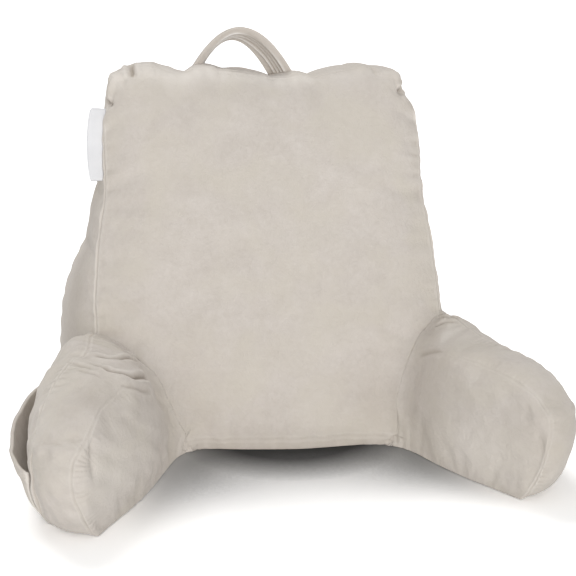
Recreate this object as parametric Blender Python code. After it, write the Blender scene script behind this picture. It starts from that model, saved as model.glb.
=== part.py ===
"""A reading pillow with arms.

A filled back leans away from the reader. Two short filled arms are sewn to its lower
sides and splay outwards, each with a patch pocket on its outer panel. A folded strap
makes the handle on top, and a bare cloth tab is caught in the seam at one side.

Metres, +Z up. The reader leans on the -Y side and the pillow stands on Z = 0. Shapes
are laid out from the middle of the seat's rear edge and then moved by ORIGIN, the
middle of the whole pillow's footprint.
"""

from collections import namedtuple
from math import cos, exp, pi, radians, sin

import bmesh
import bpy
from mathutils import Matrix, Vector

# Driving sizes
ORIGIN = Vector((-0.002, 0.0373, 0.0))
SEWN_GAP = 0.0004
BELOW_FLOOR = -0.004
SHARP_SEAM = radians(38)
NUDGE = 0.002
UP = Vector((0.0, 0.0, 1.0))

# Back: two panels and the gusset between them; heights are the seams', and the cloth
# puffs out past them. The top edge is lumpy, and the front panel rolls over it.
BACK_STEPS = (22, 22, 6)
CORNER_SHARPNESS = 26
FRONT_PUFF = 0.034
REAR_PUFF = 0.022
SIDE_PUFF = 0.012
TOP_PUFF = 0.008
TOP_ROLL = 0.8

BackRow = namedtuple("BackRow", "height left right front rear_left rear_right rear")
BACK_ROWS = (
    BackRow(-0.004, 0.205, 0.200, 0.016, 0.260, 0.228, 0.196),
    BackRow(0.060, 0.210, 0.203, 0.050, 0.266, 0.226, 0.202),
    BackRow(0.160, 0.216, 0.204, 0.086, 0.257, 0.212, 0.213),
    BackRow(0.235, 0.212, 0.197, 0.113, 0.224, 0.198, 0.223),
    BackRow(0.300, 0.204, 0.190, 0.137, 0.195, 0.188, 0.232),
    BackRow(0.370, 0.196, 0.189, 0.162, 0.186, 0.179, 0.243),
    BackRow(0.432, 0.191, 0.183, 0.184, 0.178, 0.170, 0.252),
)

# How far the top edge rises, and the panel's bottom edge is drawn back, along the width
EdgeRow = namedtuple("EdgeRow", "across top_rise drawn_back")
EDGE_ROWS = (
    EdgeRow(0.00, 0.000, 0.040),
    EdgeRow(0.12, 0.009, 0.038),
    EdgeRow(0.28, 0.001, 0.022),
    EdgeRow(0.34, 0.003, 0.014),
    EdgeRow(0.55, -0.006, 0.000),
    EdgeRow(0.66, -0.001, -0.001),
    EdgeRow(0.72, -0.004, -0.001),
    EdgeRow(0.86, 0.005, 0.000),
    EdgeRow(1.00, 0.003, 0.000),
)

# Tucks that pinch the top corners between gusset and panels
TuckRow = namedtuple("TuckRow", "across up depth reach")
TUCK_ROWS = (
    TuckRow(0.095, 1.00, 0.006, 0.014),
    TuckRow(0.000, 0.94, 0.007, 0.014),
    TuckRow(0.905, 1.00, 0.005, 0.014),
    TuckRow(1.000, 0.96, 0.009, 0.015),
)

# Arms: inner and outer panels and the gusset over the top and down the end, measured
# along the inner panel from the seat's corner. The inner panel leans out at the root.
ARM_CORNER = Vector((0.150, -0.010, 0.0))
ARM_SPLAY = radians(28.5)
ARM_STEPS = (16, 10, 6)
INNER_PUFF = 0.016
OUTER_PUFF = 0.020
GUSSET_PUFF = 0.013
END_PUFF = 0.016
LEAN_POWER = 1.15

ArmRow = namedtuple("ArmRow", "along foot lean inner_top outer_left outer_right top_left top_right")
ARM_ROWS = (
    ArmRow(-0.078, 0.000, 0.086, 0.124, 0.130, 0.118, 0.163, 0.148),
    ArmRow(-0.030, 0.000, 0.058, 0.128, 0.122, 0.109, 0.160, 0.145),
    ArmRow(0.020, -0.003, 0.025, 0.133, 0.113, 0.099, 0.154, 0.140),
    ArmRow(0.060, -0.006, 0.012, 0.134, 0.104, 0.090, 0.147, 0.136),
    ArmRow(0.110, -0.006, 0.006, 0.133, 0.091, 0.081, 0.137, 0.131),
    ArmRow(0.150, -0.003, 0.003, 0.129, 0.079, 0.075, 0.124, 0.124),
    ArmRow(0.175, -0.001, 0.001, 0.119, 0.071, 0.071, 0.111, 0.113),
    ArmRow(0.195, 0.000, 0.000, 0.103, 0.065, 0.068, 0.095, 0.097),
)

EndRow = namedtuple("EndRow", "up inner outer")
END_ROWS = (
    EndRow(0.00, 0.168, 0.158),
    EndRow(0.15, 0.180, 0.168),
    EndRow(0.40, 0.192, 0.176),
    EndRow(0.70, 0.198, 0.182),
    EndRow(1.00, 0.190, 0.176),
)

# The left arm is filled a little wider and higher than the right
Arm = namedtuple("Arm", "word side")
ARMS = (Arm("left", -1), Arm("right", 1))

# Pockets: a patch over some of the outer panel's own steps, gaping at its mouth
POCKET_ALONG = (5, 15)
POCKET_UP = (1, 6)
POCKET_CLOTH = 0.0022
POCKET_GAPE = 0.016

# Handle: a strap in an arch from foot to foot; its rear edge droops and is narrower
HANDLE_MIDDLE = Vector((-0.023, 0.233, 0.418))
HANDLE_SPAN = 0.131
HANDLE_RISE = 0.070
HANDLE_STRAP = 0.036
HANDLE_CLOTH = 0.0032
HANDLE_DROOP = 0.014
HANDLE_NARROWING = 0.10
HANDLE_CREASE = 0.0014
HANDLE_FOLDS = 2.5
HANDLE_STEPS = (24, 10, 1)

# Tab: a folded tape caught in the left seam
TAB_TOP = 0.397
TAB_LENGTH = 0.082
TAB_REACH = 0.020
TAB_IN_SEAM = 0.014
TAB_CLOTH = 0.0014
TAB_BOW = 0.003
TAB_TILT = 0.15
TAB_STEPS = (4, 8, 1)

VELVET = (0.66, 0.61, 0.56)
STRAP_VELVET = (0.70, 0.66, 0.61)
SATIN = (0.86, 0.86, 0.86)


def smooth(rows, column, at):
    """Read one column of a table on a smooth curve, keyed by its first column."""
    keys = [row[0] for row in rows]
    values = [getattr(row, column) for row in rows]
    last = len(rows) - 1

    def slope(i):
        low, high = max(i - 1, 0), min(i + 1, last)
        return (values[high] - values[low]) / (keys[high] - keys[low])

    i = max(k for k in range(last) if k == 0 or keys[k] <= at)
    span = keys[i + 1] - keys[i]
    t = min(max((at - keys[i]) / span, 0.0), 1.0)
    held = values[i] + (3 * t**2 - 2 * t**3) * (values[i + 1] - values[i])
    turned = (t**3 - 2 * t**2 + t) * slope(i) + (t**3 - t**2) * slope(i + 1)
    return held + span * turned


def mix(low, high, share):
    """Value a share of the way from low to high."""
    return low + (high - low) * share


def dome(share, power=0.5):
    """Height of puffed cloth between two seams, at share 0 and 1; it is 1 midway."""
    return max(4 * share * (1 - share), 0.0) ** power


def eased(step, steps):
    """Share of a step, with the steps drawn together near both seams."""
    even = step / steps
    return mix(even, (1 - cos(pi * even)) / 2, 0.6)


def facing(point_at, a, c, towards):
    """Unit normal of the surface point_at(a, c), on the side of the given direction."""
    along = point_at(a + NUDGE, c) - point_at(a - NUDGE, c)
    up = point_at(a, c + NUDGE) - point_at(a, c - NUDGE)
    normal = along.cross(up).normalized()
    return normal if normal.dot(towards) > 0 else -normal


def outline_facing(middle_at, a, c, depth):
    """Unit direction out of a panel's outline at (a, c), square to the depth."""
    tangents = []
    if a in (0, 1):
        tangents.append(middle_at(a, c + NUDGE) - middle_at(a, c - NUDGE))
    if c in (0, 1):
        tangents.append(middle_at(a + NUDGE, c) - middle_at(a - NUDGE, c))
    outward = Vector()
    for tangent in tangents:
        normal = tangent.cross(depth).normalized()
        out = middle_at(a, c) - middle_at(0.5, 0.5)
        outward += normal if normal.dot(out) > 0 else -normal
    return outward.normalized()


def lattice_shell(place, steps):
    """Close a shell over the six faces of a box lattice, placed by its step numbers."""
    mesh = bmesh.new()
    corners = {}

    def corner(key):
        if key not in corners:
            corners[key] = mesh.verts.new(place(*key))
        return corners[key]

    for axis in range(3):
        first, second = (k for k in range(3) if k != axis)
        for side in (0, steps[axis]):
            for p in range(steps[first]):
                for q in range(steps[second]):
                    ring = []
                    for dp, dq in ((0, 0), (1, 0), (1, 1), (0, 1)):
                        key = [side, side, side]
                        key[first], key[second] = p + dp, q + dq
                        ring.append(corner(tuple(key)))
                    mesh.faces.new(ring)
    bmesh.ops.recalc_face_normals(mesh, faces=mesh.faces)
    return mesh


def flatten_base(mesh):
    """Cut a shell level with the floor and close it with one flat face."""
    shell = mesh.verts[:] + mesh.edges[:] + mesh.faces[:]
    cut = bmesh.ops.bisect_plane(mesh, geom=shell, plane_no=UP, clear_inner=True)
    rim = [edge for edge in cut["geom_cut"] if isinstance(edge, bmesh.types.BMEdge)]
    bmesh.ops.contextual_create(mesh, geom=rim)
    bmesh.ops.recalc_face_normals(mesh, faces=mesh.faces)
    return mesh


def make_piece(name, mesh, color, roughness=0.9):
    """Turn a shell into a named, smooth-shaded object in its own material."""
    data = bpy.data.meshes.new(name)
    mesh.to_mesh(data)
    mesh.free()
    data.transform(Matrix.Translation(-ORIGIN))
    data.shade_smooth()
    data.set_sharp_from_angle(angle=SHARP_SEAM)
    material = bpy.data.materials.new(name)
    material.use_nodes = True
    shader = material.node_tree.nodes["Principled BSDF"]
    shader.inputs["Base Color"].default_value = (*color, 1.0)
    shader.inputs["Roughness"].default_value = roughness
    shader.inputs["Metallic"].default_value = 0.0
    data.materials.append(material)
    piece = bpy.data.objects.new(name, data)
    bpy.context.scene.collection.objects.link(piece)
    return piece


def sew_to(piece, neighbour):
    """Trim a piece to its neighbour's surface, the sewn gap away from it."""
    grown = neighbour.data.copy()
    for vertex in grown.vertices:
        vertex.co += vertex.normal * SEWN_GAP
    cutter = bpy.data.objects.new(piece.name + "_trim", grown)
    cutter.hide_render = True
    cutter.display_type = "WIRE"
    bpy.context.scene.collection.objects.link(cutter)
    trim = piece.modifiers.new("Sewn edge", "BOOLEAN")
    trim.operation = "DIFFERENCE"
    trim.solver = "EXACT"
    trim.object = cutter


def round_corner(a, c):
    """Draw a unit panel's two top corners in, where the gusset turns them."""
    across, up = 2 * a - 1, 2 * c - 1
    largest = max(abs(across), up)
    if up <= 0 or largest <= 0.5:
        return a, c
    n = CORNER_SHARPNESS
    on_edge = (1 + (min(abs(across), up) / largest) ** n) ** (-1 / n)
    drawn = mix(1.0, on_edge, 2 * largest - 1)
    return (across * drawn + 1) / 2, (up * drawn + 1) / 2


def back_panel(left, right, depth, a, c):
    """Flat point of the back's front or rear panel, from the named table columns."""
    a, c = round_corner(a, c)
    top = BACK_ROWS[-1].height + smooth(EDGE_ROWS, "top_rise", a) * max(c, 0) ** 6
    z = mix(BELOW_FLOOR, top, c)
    x = mix(-smooth(BACK_ROWS, left, z), smooth(BACK_ROWS, right, z), a)
    return Vector((x, smooth(BACK_ROWS, depth, z), z))


def back_front(a, c):
    """Flat front panel of the back, its bottom edge drawn back at the left."""
    point = back_panel("left", "right", "front", a, c)
    point.y += smooth(EDGE_ROWS, "drawn_back", a) * (1 - min(max(c, 0), 1)) ** 9
    return point


def back_rear(a, c):
    """Flat rear panel of the back."""
    return back_panel("rear_left", "rear_right", "rear", a, c)


def tucked(point):
    """Pull a point of the back in where a tuck pinches the corners."""
    middle = back_front(0.5, 0.5)
    for row in TUCK_ROWS:
        tuck = back_front(row.across, row.up)
        pull = row.depth * exp(-((point - tuck).length / row.reach) ** 2)
        point = point + (middle - tuck).normalized() * pull
    return point


def back_point(i, j, k):
    """Point of the back cushion's skin at a lattice step."""
    a, c, d = (eased(step, steps) for step, steps in zip((i, j, k), BACK_STEPS))
    flat = back_front(a, c).lerp(back_rear(a, c), d)
    if d == 0:
        roll = UP * TOP_ROLL * max(2 * c - 1, 0) ** 3
        out = facing(back_front, a, c, Vector((0, -1, 0))) + roll
        return tucked(flat + out.normalized() * FRONT_PUFF * dome(a) * dome(c, 0.4))
    if d == 1:
        return flat + facing(back_rear, a, c, Vector((0, 1, 0))) * REAR_PUFF * dome(a) * dome(c)

    def middle(across, up):
        return back_front(across, up).lerp(back_rear(across, up), 0.5)

    puff = TOP_PUFF if j == BACK_STEPS[1] else SIDE_PUFF
    depth = back_rear(a, c) - back_front(a, c)
    return tucked(flat + outline_facing(middle, a, c, depth) * puff * dome(d))


def arm_axes(arm):
    """Directions along an arm, towards its end, and out of its outer panel."""
    along = Vector((arm.side * sin(ARM_SPLAY), -cos(ARM_SPLAY), 0))
    out = Vector((arm.side * cos(ARM_SPLAY), sin(ARM_SPLAY), 0))
    return along, out


def arm_panel(arm, edge, a, c):
    """Flat point of an arm's inner or outer panel."""
    root, tip = ARM_ROWS[0].along, ARM_ROWS[-1].along
    nominal = mix(root, tip, a)
    along = mix(root, smooth(END_ROWS, edge, c), a)
    if edge == "inner":
        top = smooth(ARM_ROWS, "inner_top", nominal)
        lean = smooth(ARM_ROWS, "lean", nominal) * max(c, 0) ** LEAN_POWER
        offset = smooth(ARM_ROWS, "foot", nominal) + lean
    else:
        top = smooth(ARM_ROWS, "top_" + arm.word, nominal)
        offset = smooth(ARM_ROWS, "outer_" + arm.word, nominal)
    forward, out = arm_axes(arm)
    corner = Vector((arm.side * ARM_CORNER.x, ARM_CORNER.y, mix(BELOW_FLOOR, top, c)))
    return corner + forward * along + out * offset


def arm_skin(arm, a, c, d):
    """Point of an arm's skin, d going from its inner panel (0) to its outer one (1)."""
    def inner(along, up):
        return arm_panel(arm, "inner", along, up)

    def outer(along, up):
        return arm_panel(arm, "outer", along, up)

    def middle(along, up):
        return inner(along, up).lerp(outer(along, up), 0.5)

    out = arm_axes(arm)[1]
    flat = inner(a, c).lerp(outer(a, c), d)
    if d == 0:
        return flat + facing(inner, a, c, -out) * INNER_PUFF * dome(a, 1.1) * dome(c, 0.8)
    if d == 1:
        return flat + facing(outer, a, c, out) * OUTER_PUFF * dome(a) * dome(c, 0.8)
    depth = outer(a, c) - inner(a, c)
    puff = END_PUFF * dome(0.5 * c) if a == 1 else GUSSET_PUFF
    return flat + outline_facing(middle, a, c, depth) * puff * dome(d, 0.8)


def pocket_skin(arm, i, j, k):
    """Point of a pocket's cloth, over step (i, j) of the outer panel, in layer k."""
    first, low = POCKET_ALONG[0], POCKET_UP[0]
    a, c = eased(first + i, ARM_STEPS[0]), eased(low + j, ARM_STEPS[1])

    def panel(along, up):
        return arm_skin(arm, along, up, 1)

    across = i / (POCKET_ALONG[1] - first)
    up = j / (POCKET_UP[1] - low)
    gape = POCKET_GAPE * dome(across, 0.8) * up**1.2
    out = facing(panel, a, c, arm_axes(arm)[1])
    return panel(a, c) + out * (SEWN_GAP + gape + POCKET_CLOTH * k)


def handle_skin(i, j, k):
    """Point of the handle's strap: i along its arch, j across it, k through it."""
    turn = pi * i / HANDLE_STEPS[0]
    across = j / HANDLE_STEPS[1]
    reach = HANDLE_SPAN / 2 * (1 - HANDLE_NARROWING * across)
    arch = Vector((-cos(turn) * reach, 0, sin(turn) ** 2 * HANDLE_RISE))
    out = Vector((-2 * cos(turn) * HANDLE_RISE, 0, reach)).normalized()
    crease = HANDLE_CREASE * cos(2 * pi * HANDLE_FOLDS * across) * sin(turn)
    edge = Vector((0, (across - 0.5) * HANDLE_STRAP, -HANDLE_DROOP * across * sin(turn)))
    return HANDLE_MIDDLE + arch + edge + out * (crease + HANDLE_CLOTH * k)


def tab_skin(i, j, k):
    """Point of the tab: i out of the seam, j down it, k through its cloth."""
    z = TAB_TOP - TAB_LENGTH * j / TAB_STEPS[1]
    reach = mix(-TAB_IN_SEAM, TAB_REACH, i / TAB_STEPS[0])
    bow = TAB_BOW * dome(j / TAB_STEPS[1]) * max(reach, 0) / TAB_REACH
    x = -smooth(BACK_ROWS, "left", z) - reach - bow
    y = smooth(BACK_ROWS, "front", z) - TAB_TILT * reach - TAB_CLOTH * k
    return Vector((x, y, z))


def build_back():
    """The filled back, flat where it stands."""
    return make_piece("back_cushion", flatten_base(lattice_shell(back_point, BACK_STEPS)), VELVET)


def build_arm(arm, back):
    """One filled arm, trimmed to the back that it is sewn to."""
    def place(i, j, k):
        shares = (eased(step, steps) for step, steps in zip((i, j, k), ARM_STEPS))
        return arm_skin(arm, *shares)

    shell = flatten_base(lattice_shell(place, ARM_STEPS))
    sew_to(make_piece("arm_" + arm.word, shell, VELVET), back)


def build_pocket(arm):
    """The patch pocket on one arm's outer panel."""
    steps = (POCKET_ALONG[1] - POCKET_ALONG[0], POCKET_UP[1] - POCKET_UP[0], 1)
    shell = lattice_shell(lambda i, j, k: pocket_skin(arm, i, j, k), steps)
    make_piece("pocket_" + arm.word, shell, VELVET)


def build_trim(back):
    """The handle and the tab, each caught in the back's seams."""
    handle = make_piece("carry_handle", lattice_shell(handle_skin, HANDLE_STEPS), STRAP_VELVET)
    tab = make_piece("side_label", lattice_shell(tab_skin, TAB_STEPS), SATIN, roughness=0.5)
    for piece in (handle, tab):
        sew_to(piece, back)


def main():
    """Build every piece of the pillow in an emptied scene."""
    for item in list(bpy.data.objects):
        bpy.data.objects.remove(item)
    back = build_back()
    for arm in ARMS:
        build_arm(arm, back)
        build_pocket(arm)
    build_trim(back)


main()
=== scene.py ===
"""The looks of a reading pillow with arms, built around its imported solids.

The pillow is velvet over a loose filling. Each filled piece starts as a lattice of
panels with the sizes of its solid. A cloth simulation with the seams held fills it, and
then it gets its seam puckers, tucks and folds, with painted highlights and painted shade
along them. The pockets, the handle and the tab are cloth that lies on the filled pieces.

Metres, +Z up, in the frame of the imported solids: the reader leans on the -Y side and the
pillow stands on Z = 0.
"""

import logging
import math
from dataclasses import dataclass, replace
from enum import Enum
from typing import Callable, NamedTuple, Sequence

import bmesh
import bpy
import numpy as np
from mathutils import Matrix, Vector, noise
from mathutils.bvhtree import BVHTree
from mathutils.kdtree import KDTree


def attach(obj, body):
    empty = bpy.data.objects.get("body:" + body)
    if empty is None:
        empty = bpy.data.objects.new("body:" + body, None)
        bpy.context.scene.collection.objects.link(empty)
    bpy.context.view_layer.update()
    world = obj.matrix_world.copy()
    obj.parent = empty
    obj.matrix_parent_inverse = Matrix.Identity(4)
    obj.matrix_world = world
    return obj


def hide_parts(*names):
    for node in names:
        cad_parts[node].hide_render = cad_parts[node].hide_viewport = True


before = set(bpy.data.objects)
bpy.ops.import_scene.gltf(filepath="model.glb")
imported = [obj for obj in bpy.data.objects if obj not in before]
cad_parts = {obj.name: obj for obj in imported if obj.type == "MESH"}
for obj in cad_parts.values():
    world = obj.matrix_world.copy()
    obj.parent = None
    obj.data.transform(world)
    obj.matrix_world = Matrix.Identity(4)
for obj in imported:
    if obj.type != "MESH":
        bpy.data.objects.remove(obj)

LOG = logging.getLogger("reading_pillow")

# The panels are laid out from the middle of the seat's rear edge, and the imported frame
# stands on the middle of the whole footprint, this far from it.
FOOTPRINT = np.array((-0.002, 0.0373, 0.0))
SEWN_GAP = 0.0004  # between a pocket's cloth and its arm
UP = np.array((0.0, 0.0, 1.0))

# Soft lumps over every filled piece, and the rumple of its cloth: height or share of it,
# size and seed of each layer of noise.
LUMPS = ((0.0008, 0.045, 3.0), (0.0012, 0.11, 9.0))
RUMPLE = ((1.0, 0.014, 5.0), (0.7, 0.026, 7.0))
GRAIN_STRETCH = 0.6

# Lattice steps over which a filled piece's edges are rounded, and the share that normals
# are measured across.
EDGE_STEPS = 2.2
NUDGE = 0.002

STITCH_SPACING = 0.0042
STITCH_SHARE = 0.7
STITCH_THICKNESS = 0.00038

Array = np.ndarray
Place = tuple[float, float, float]
Color = tuple[float, float, float]
Surface = Callable[[Array, Array], Array]
Socket = bpy.types.NodeSocket


# ---------------------------------------------------------------------------- tables


class BackRow(NamedTuple):
    """Seams of the back at one height: half widths and depths."""

    height: float
    left: float
    right: float
    front: float
    rear_left: float
    rear_right: float
    rear: float


class EdgeRow(NamedTuple):
    """Rise of the back's top edge and set-back of its bottom edge, across its width."""

    across: float
    top_rise: float
    drawn_back: float


class TuckRow(NamedTuple):
    """A tuck that pinches the back's corner, by its place on the front panel."""

    across: float
    up: float
    depth: float
    reach: float
    # How much painted shade the tuck's fold gets, and half as much painted highlight on its banks.
    shade: float = 0.7


class ArmRow(NamedTuple):
    """An arm's seams at one distance along its inner panel."""

    along: float
    foot: float
    lean: float
    inner_left: float
    inner_right: float
    outer_left: float
    outer_right: float
    top_left: float
    top_right: float


class SeamRow(NamedTuple):
    """Where an arm's two long seams run, as shares through its thickness."""

    along: float
    inner: float
    outer: float


class EndRow(NamedTuple):
    """How far an arm's inner and outer panels reach, at one share of the height."""

    up: float
    inner: float
    outer: float


class Crease(NamedTuple):
    """A fold pressed into cloth along a line; its shade is the painted shade in the fold, and half
    of it a painted highlight on its banks.
    """

    points: tuple[Place, ...]
    depth: float
    width: float
    shoulder: float
    shade: float = 0.7


class PaintedDip(NamedTuple):
    """A shallow dip in filled cloth with painted shade over it, or a painted highlight where the
    shade is below zero.
    """

    place: Place
    reach: float
    depth: float
    shade: float


class Side(Enum):
    """The pillow's two sides; the value points away from its middle."""

    LEFT = -1
    RIGHT = 1

    @property
    def word(self) -> str:
        """The side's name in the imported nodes."""
        return self.name.lower()


# Folds where each arm bends away from the back, with painted shade in them.
ARM_CREASES = {
    Side.LEFT: (
        Crease(
            (
                (-0.214, 0.048, 0.146),
                (-0.203, 0.036, 0.143),
                (-0.191, 0.042, 0.134),
                (-0.173, 0.041, 0.121),
                (-0.163, 0.037, 0.113),
                (-0.154, 0.034, 0.104),
            ),
            depth=0.0026, width=0.0032, shoulder=0.0010, shade=0.75,
        ),
        Crease(
            (
                (-0.232, -0.022, 0.152),
                (-0.222, -0.026, 0.151),
                (-0.203, -0.030, 0.148),
                (-0.185, -0.001, 0.135),
                (-0.174, 0.038, 0.121),
            ),
            depth=0.0032, width=0.0034, shoulder=0.0015, shade=0.75,
        ),
        Crease(
            (
                (-0.232, -0.043, 0.151),
                (-0.216, -0.055, 0.150),
                (-0.209, -0.067, 0.148),
                (-0.196, -0.064, 0.144),
                (-0.184, -0.061, 0.136),
                (-0.166, 0.006, 0.108),
            ),
            depth=0.0038, width=0.0034, shoulder=0.0020, shade=0.90,
        ),
        Crease(
            (
                (-0.202, -0.087, 0.138),
                (-0.189, -0.081, 0.132),
                (-0.176, -0.064, 0.121),
                (-0.165, -0.033, 0.107),
            ),
            depth=0.0014, width=0.0034, shoulder=0.0010, shade=0.35,
        ),
        Crease(
            (
                (-0.256, -0.031, 0.148),
                (-0.241, -0.052, 0.150),
                (-0.223, -0.064, 0.150),
            ),
            depth=0.0014, width=0.0030, shoulder=0.0008, shade=0.35,
        ),
        Crease(
            (
                (-0.245, -0.060, 0.148),
                (-0.230, -0.075, 0.149),
                (-0.217, -0.082, 0.147),
            ),
            depth=0.0012, width=0.0030, shoulder=0.0008, shade=0.30,
        ),
    ),
    Side.RIGHT: (
        Crease(
            (
                (0.200, 0.068, 0.145),
                (0.212, 0.055, 0.150),
                (0.222, 0.045, 0.150),
            ),
            depth=0.0026, width=0.0032, shoulder=0.0014, shade=0.55,
        ),
        Crease(
            (
                (0.191, 0.051, 0.134),
                (0.203, 0.042, 0.143),
                (0.214, 0.034, 0.149),
            ),
            depth=0.0028, width=0.0032, shoulder=0.0014, shade=0.60,
        ),
        Crease(
            (
                (0.165, 0.032, 0.106),
                (0.172, 0.003, 0.120),
                (0.179, -0.036, 0.134),
            ),
            depth=0.0020, width=0.0040, shoulder=0.0012, shade=0.35,
        ),
    ),
}

# A shallow dip with painted shade beside the left arm's folds, and patches of painted shade and
# painted highlight on each arm.
ARM_PAINTED_DIPS = {
    Side.LEFT: (
        PaintedDip((-0.229, -0.120, 0.139), 0.026, 0.0018, 0.20),
        PaintedDip((-0.216, -0.154, 0.050), 0.045, 0.0, -0.50),
        PaintedDip((-0.190, -0.115, 0.070), 0.035, 0.0, -0.15),
        PaintedDip((-0.283, -0.085, 0.138), 0.028, 0.0, -0.35),
        PaintedDip((-0.292, -0.125, 0.118), 0.026, 0.0, -0.30),
    ),
    Side.RIGHT: (
        PaintedDip((0.190, -0.112, 0.038), 0.052, 0.0, -0.50),
        PaintedDip((0.191, 0.008, 0.140), 0.028, 0.0, -0.60),
        PaintedDip((0.258, -0.178, 0.085), 0.042, 0.0, 0.20),
    ),
}


# ----------------------------------------------------------------------- small maths


def smooth(rows: Sequence[NamedTuple], column: str, at: Array) -> Array:
    """Read one column of a table on a smooth curve, keyed by its first column.

    Args:
        rows: The table.
        column: Name of the column to read.
        at: Keys to read it at.

    Returns:
        The column's values at those keys.
    """
    keys = np.array([row[0] for row in rows], float)
    values = np.array([getattr(row, column) for row in rows], float)
    last = len(keys) - 1
    at = np.clip(at, keys[0], keys[-1])
    before = np.maximum(np.arange(last + 1) - 1, 0)
    after = np.minimum(np.arange(last + 1) + 1, last)
    slopes = (values[after] - values[before]) / (keys[after] - keys[before])
    i = np.clip(np.searchsorted(keys, at, side="right") - 1, 0, last - 1)
    span = keys[i + 1] - keys[i]
    t = (at - keys[i]) / span
    held = values[i] + (3 * t**2 - 2 * t**3) * (values[i + 1] - values[i])
    turned = (t**3 - 2 * t**2 + t) * slopes[i] + (t**3 - t**2) * slopes[i + 1]
    return held + span * turned


def mix(low: Array | float, high: Array | float, share: Array | float) -> Array | float:
    """Value a share of the way from low to high."""
    return low + (high - low) * share


def dome(share: Array, power: float = 0.5) -> Array:
    """Height of puffed cloth between two seams, at share 0 and 1; it is 1 midway."""
    return np.maximum(4 * share * (1 - share), 0.0) ** power


def eased(share: Array) -> Array:
    """Share with its steps drawn together near both seams."""
    return mix(share, (1 - np.cos(np.pi * share)) / 2, 0.6)


def unit(vectors: Array) -> Array:
    """Vectors at unit length."""
    return vectors / np.maximum(np.linalg.norm(vectors, axis=-1, keepdims=True), 1e-12)


def ramp(low: float, high: float, values: Array) -> Array:
    """Smooth step from 0 at low to 1 at high."""
    t = np.clip((values - low) / (high - low), 0.0, 1.0)
    return t * t * (3 - 2 * t)


def facing(surface: Surface, a: Array, c: Array, towards: Array) -> Array:
    """Unit normals of a surface, on the side of a given direction.

    Args:
        surface: Gives points for shares a along and c up.
        a: Shares along.
        c: Shares up.
        towards: Direction that the normals point to.

    Returns:
        One normal for each pair of shares.
    """
    along = surface(a + NUDGE, c) - surface(a - NUDGE, c)
    up = surface(a, c + NUDGE) - surface(a, c - NUDGE)
    normal = unit(np.cross(along, up))
    return normal * np.where((normal * towards).sum(-1, keepdims=True) < 0, -1.0, 1.0)


def outline_facing(middle: Surface, a: Array, c: Array, depth: Array) -> Array:
    """Unit directions out of a panel's outline, square to its depth."""
    center = middle(np.full_like(a, 0.5), np.full_like(c, 0.5))
    outward = np.zeros_like(depth)
    edges = (
        ((a == 0) | (a == 1), middle(a, c + NUDGE) - middle(a, c - NUDGE)),
        ((c == 0) | (c == 1), middle(a + NUDGE, c) - middle(a - NUDGE, c)),
    )
    for on_edge, tangent in edges:
        normal = unit(np.cross(tangent, depth))
        outer = ((middle(a, c) - center) * normal).sum(-1, keepdims=True)
        outward += np.where(outer < 0, -normal, normal) * on_edge[:, None]
    return unit(outward)


def wander(seed: int, at: Array, wavelength: float) -> Array:
    """Smooth noise along a line, from -1 to 1, the same each time for a seed."""
    count, before, last = 264, 4, 254
    heights = np.random.default_rng(seed).uniform(-1, 1, count)
    t = at / wavelength
    i = np.clip(np.floor(t).astype(int), -before, last)
    share = t - i
    share = share * share * (3 - 2 * share)
    return mix(heights[i + before], heights[i + before + 1], share)


def lumps(points: Array, layers: Sequence[tuple[float, float, float]]) -> Array:
    """Smooth noise over points in space, from layers of height, size and seed."""
    total = np.zeros(len(points))
    for height, size, seed in layers:
        shift = Vector((seed, -seed, seed * 0.5))
        field = np.array([noise.noise(Vector(p) / size + shift) for p in points]) * 1.6
        total += height * field
    return total


def bell(distance: Array, width: Array | float) -> Array:
    """A bump that is 1 at distance 0 and fades out past its width."""
    return np.exp(-((distance / width) ** 2))


def floored(points: Array, lowest: float = 0.0) -> Array:
    """The same points, those below the floor lifted onto it."""
    points[:, 2] = np.maximum(points[:, 2], lowest)
    return points


def arc_along(path: Array) -> Array:
    """Distance from a path's start to each of its points."""
    return np.concatenate(([0.0], np.cumsum(np.linalg.norm(np.diff(path, axis=0), axis=1))))


def at_arc(path: Array, arc: Array, at: Array) -> Array:
    """Points of a path at some distances along it."""
    return np.stack([np.interp(at, arc, path[:, k]) for k in range(3)], 1)


# -------------------------------------------------------------------------- lattices


def grid_shares(steps: tuple[int, int]) -> tuple[Array, Array]:
    """Shares along and across for every point of a grid."""
    ways = [np.linspace(0, 1, count + 1) for count in steps]
    along, across = np.meshgrid(*ways, indexing="ij")
    return along.ravel(), across.ravel()


def grid_quads(grid: Array) -> Array:
    """Point numbers of the four corners of every cell of a grid."""
    ring = (grid[:-1, :-1], grid[1:, :-1], grid[1:, 1:], grid[:-1, 1:])
    return np.stack([corner.ravel() for corner in ring], 1)


@dataclass
class Shell:
    """The closed outer shell of a box lattice, as arrays."""

    steps: tuple[int, int, int]
    keys: Array
    quads: Array
    index: Array

    @classmethod
    def of(cls, steps: tuple[int, int, int]) -> "Shell":
        """Build the shell of a lattice with a number of steps each way."""
        shape = tuple(s + 1 for s in steps)
        on_shell = np.zeros(shape, bool)
        for axis in range(3):
            for side in (0, steps[axis]):
                on_shell[(slice(None),) * axis + (side,)] = True
        index = np.full(shape, -1)
        index[on_shell] = np.arange(on_shell.sum())
        quads = []
        for axis in range(3):
            for side in (0, steps[axis]):
                quads.append(grid_quads(index[(slice(None),) * axis + (side,)]))
        return cls(steps, np.argwhere(on_shell), np.concatenate(quads), index)

    def shares(self) -> Array:
        """Eased shares of each shell point along the lattice's three axes."""
        return eased(self.keys / np.array(self.steps))

    def line(self, a: int | None, c: int | None, d: int | None) -> Array:
        """Indices along one lattice edge: two steps are given and one is None."""
        where = tuple(slice(None) if step is None else step for step in (a, c, d))
        return self.index[where]


def link(name: str, data: bpy.types.ID) -> bpy.types.Object:
    """Put a new object with its data into the scene."""
    item = bpy.data.objects.new(name, data)
    bpy.context.scene.collection.objects.link(item)
    return item


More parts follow.
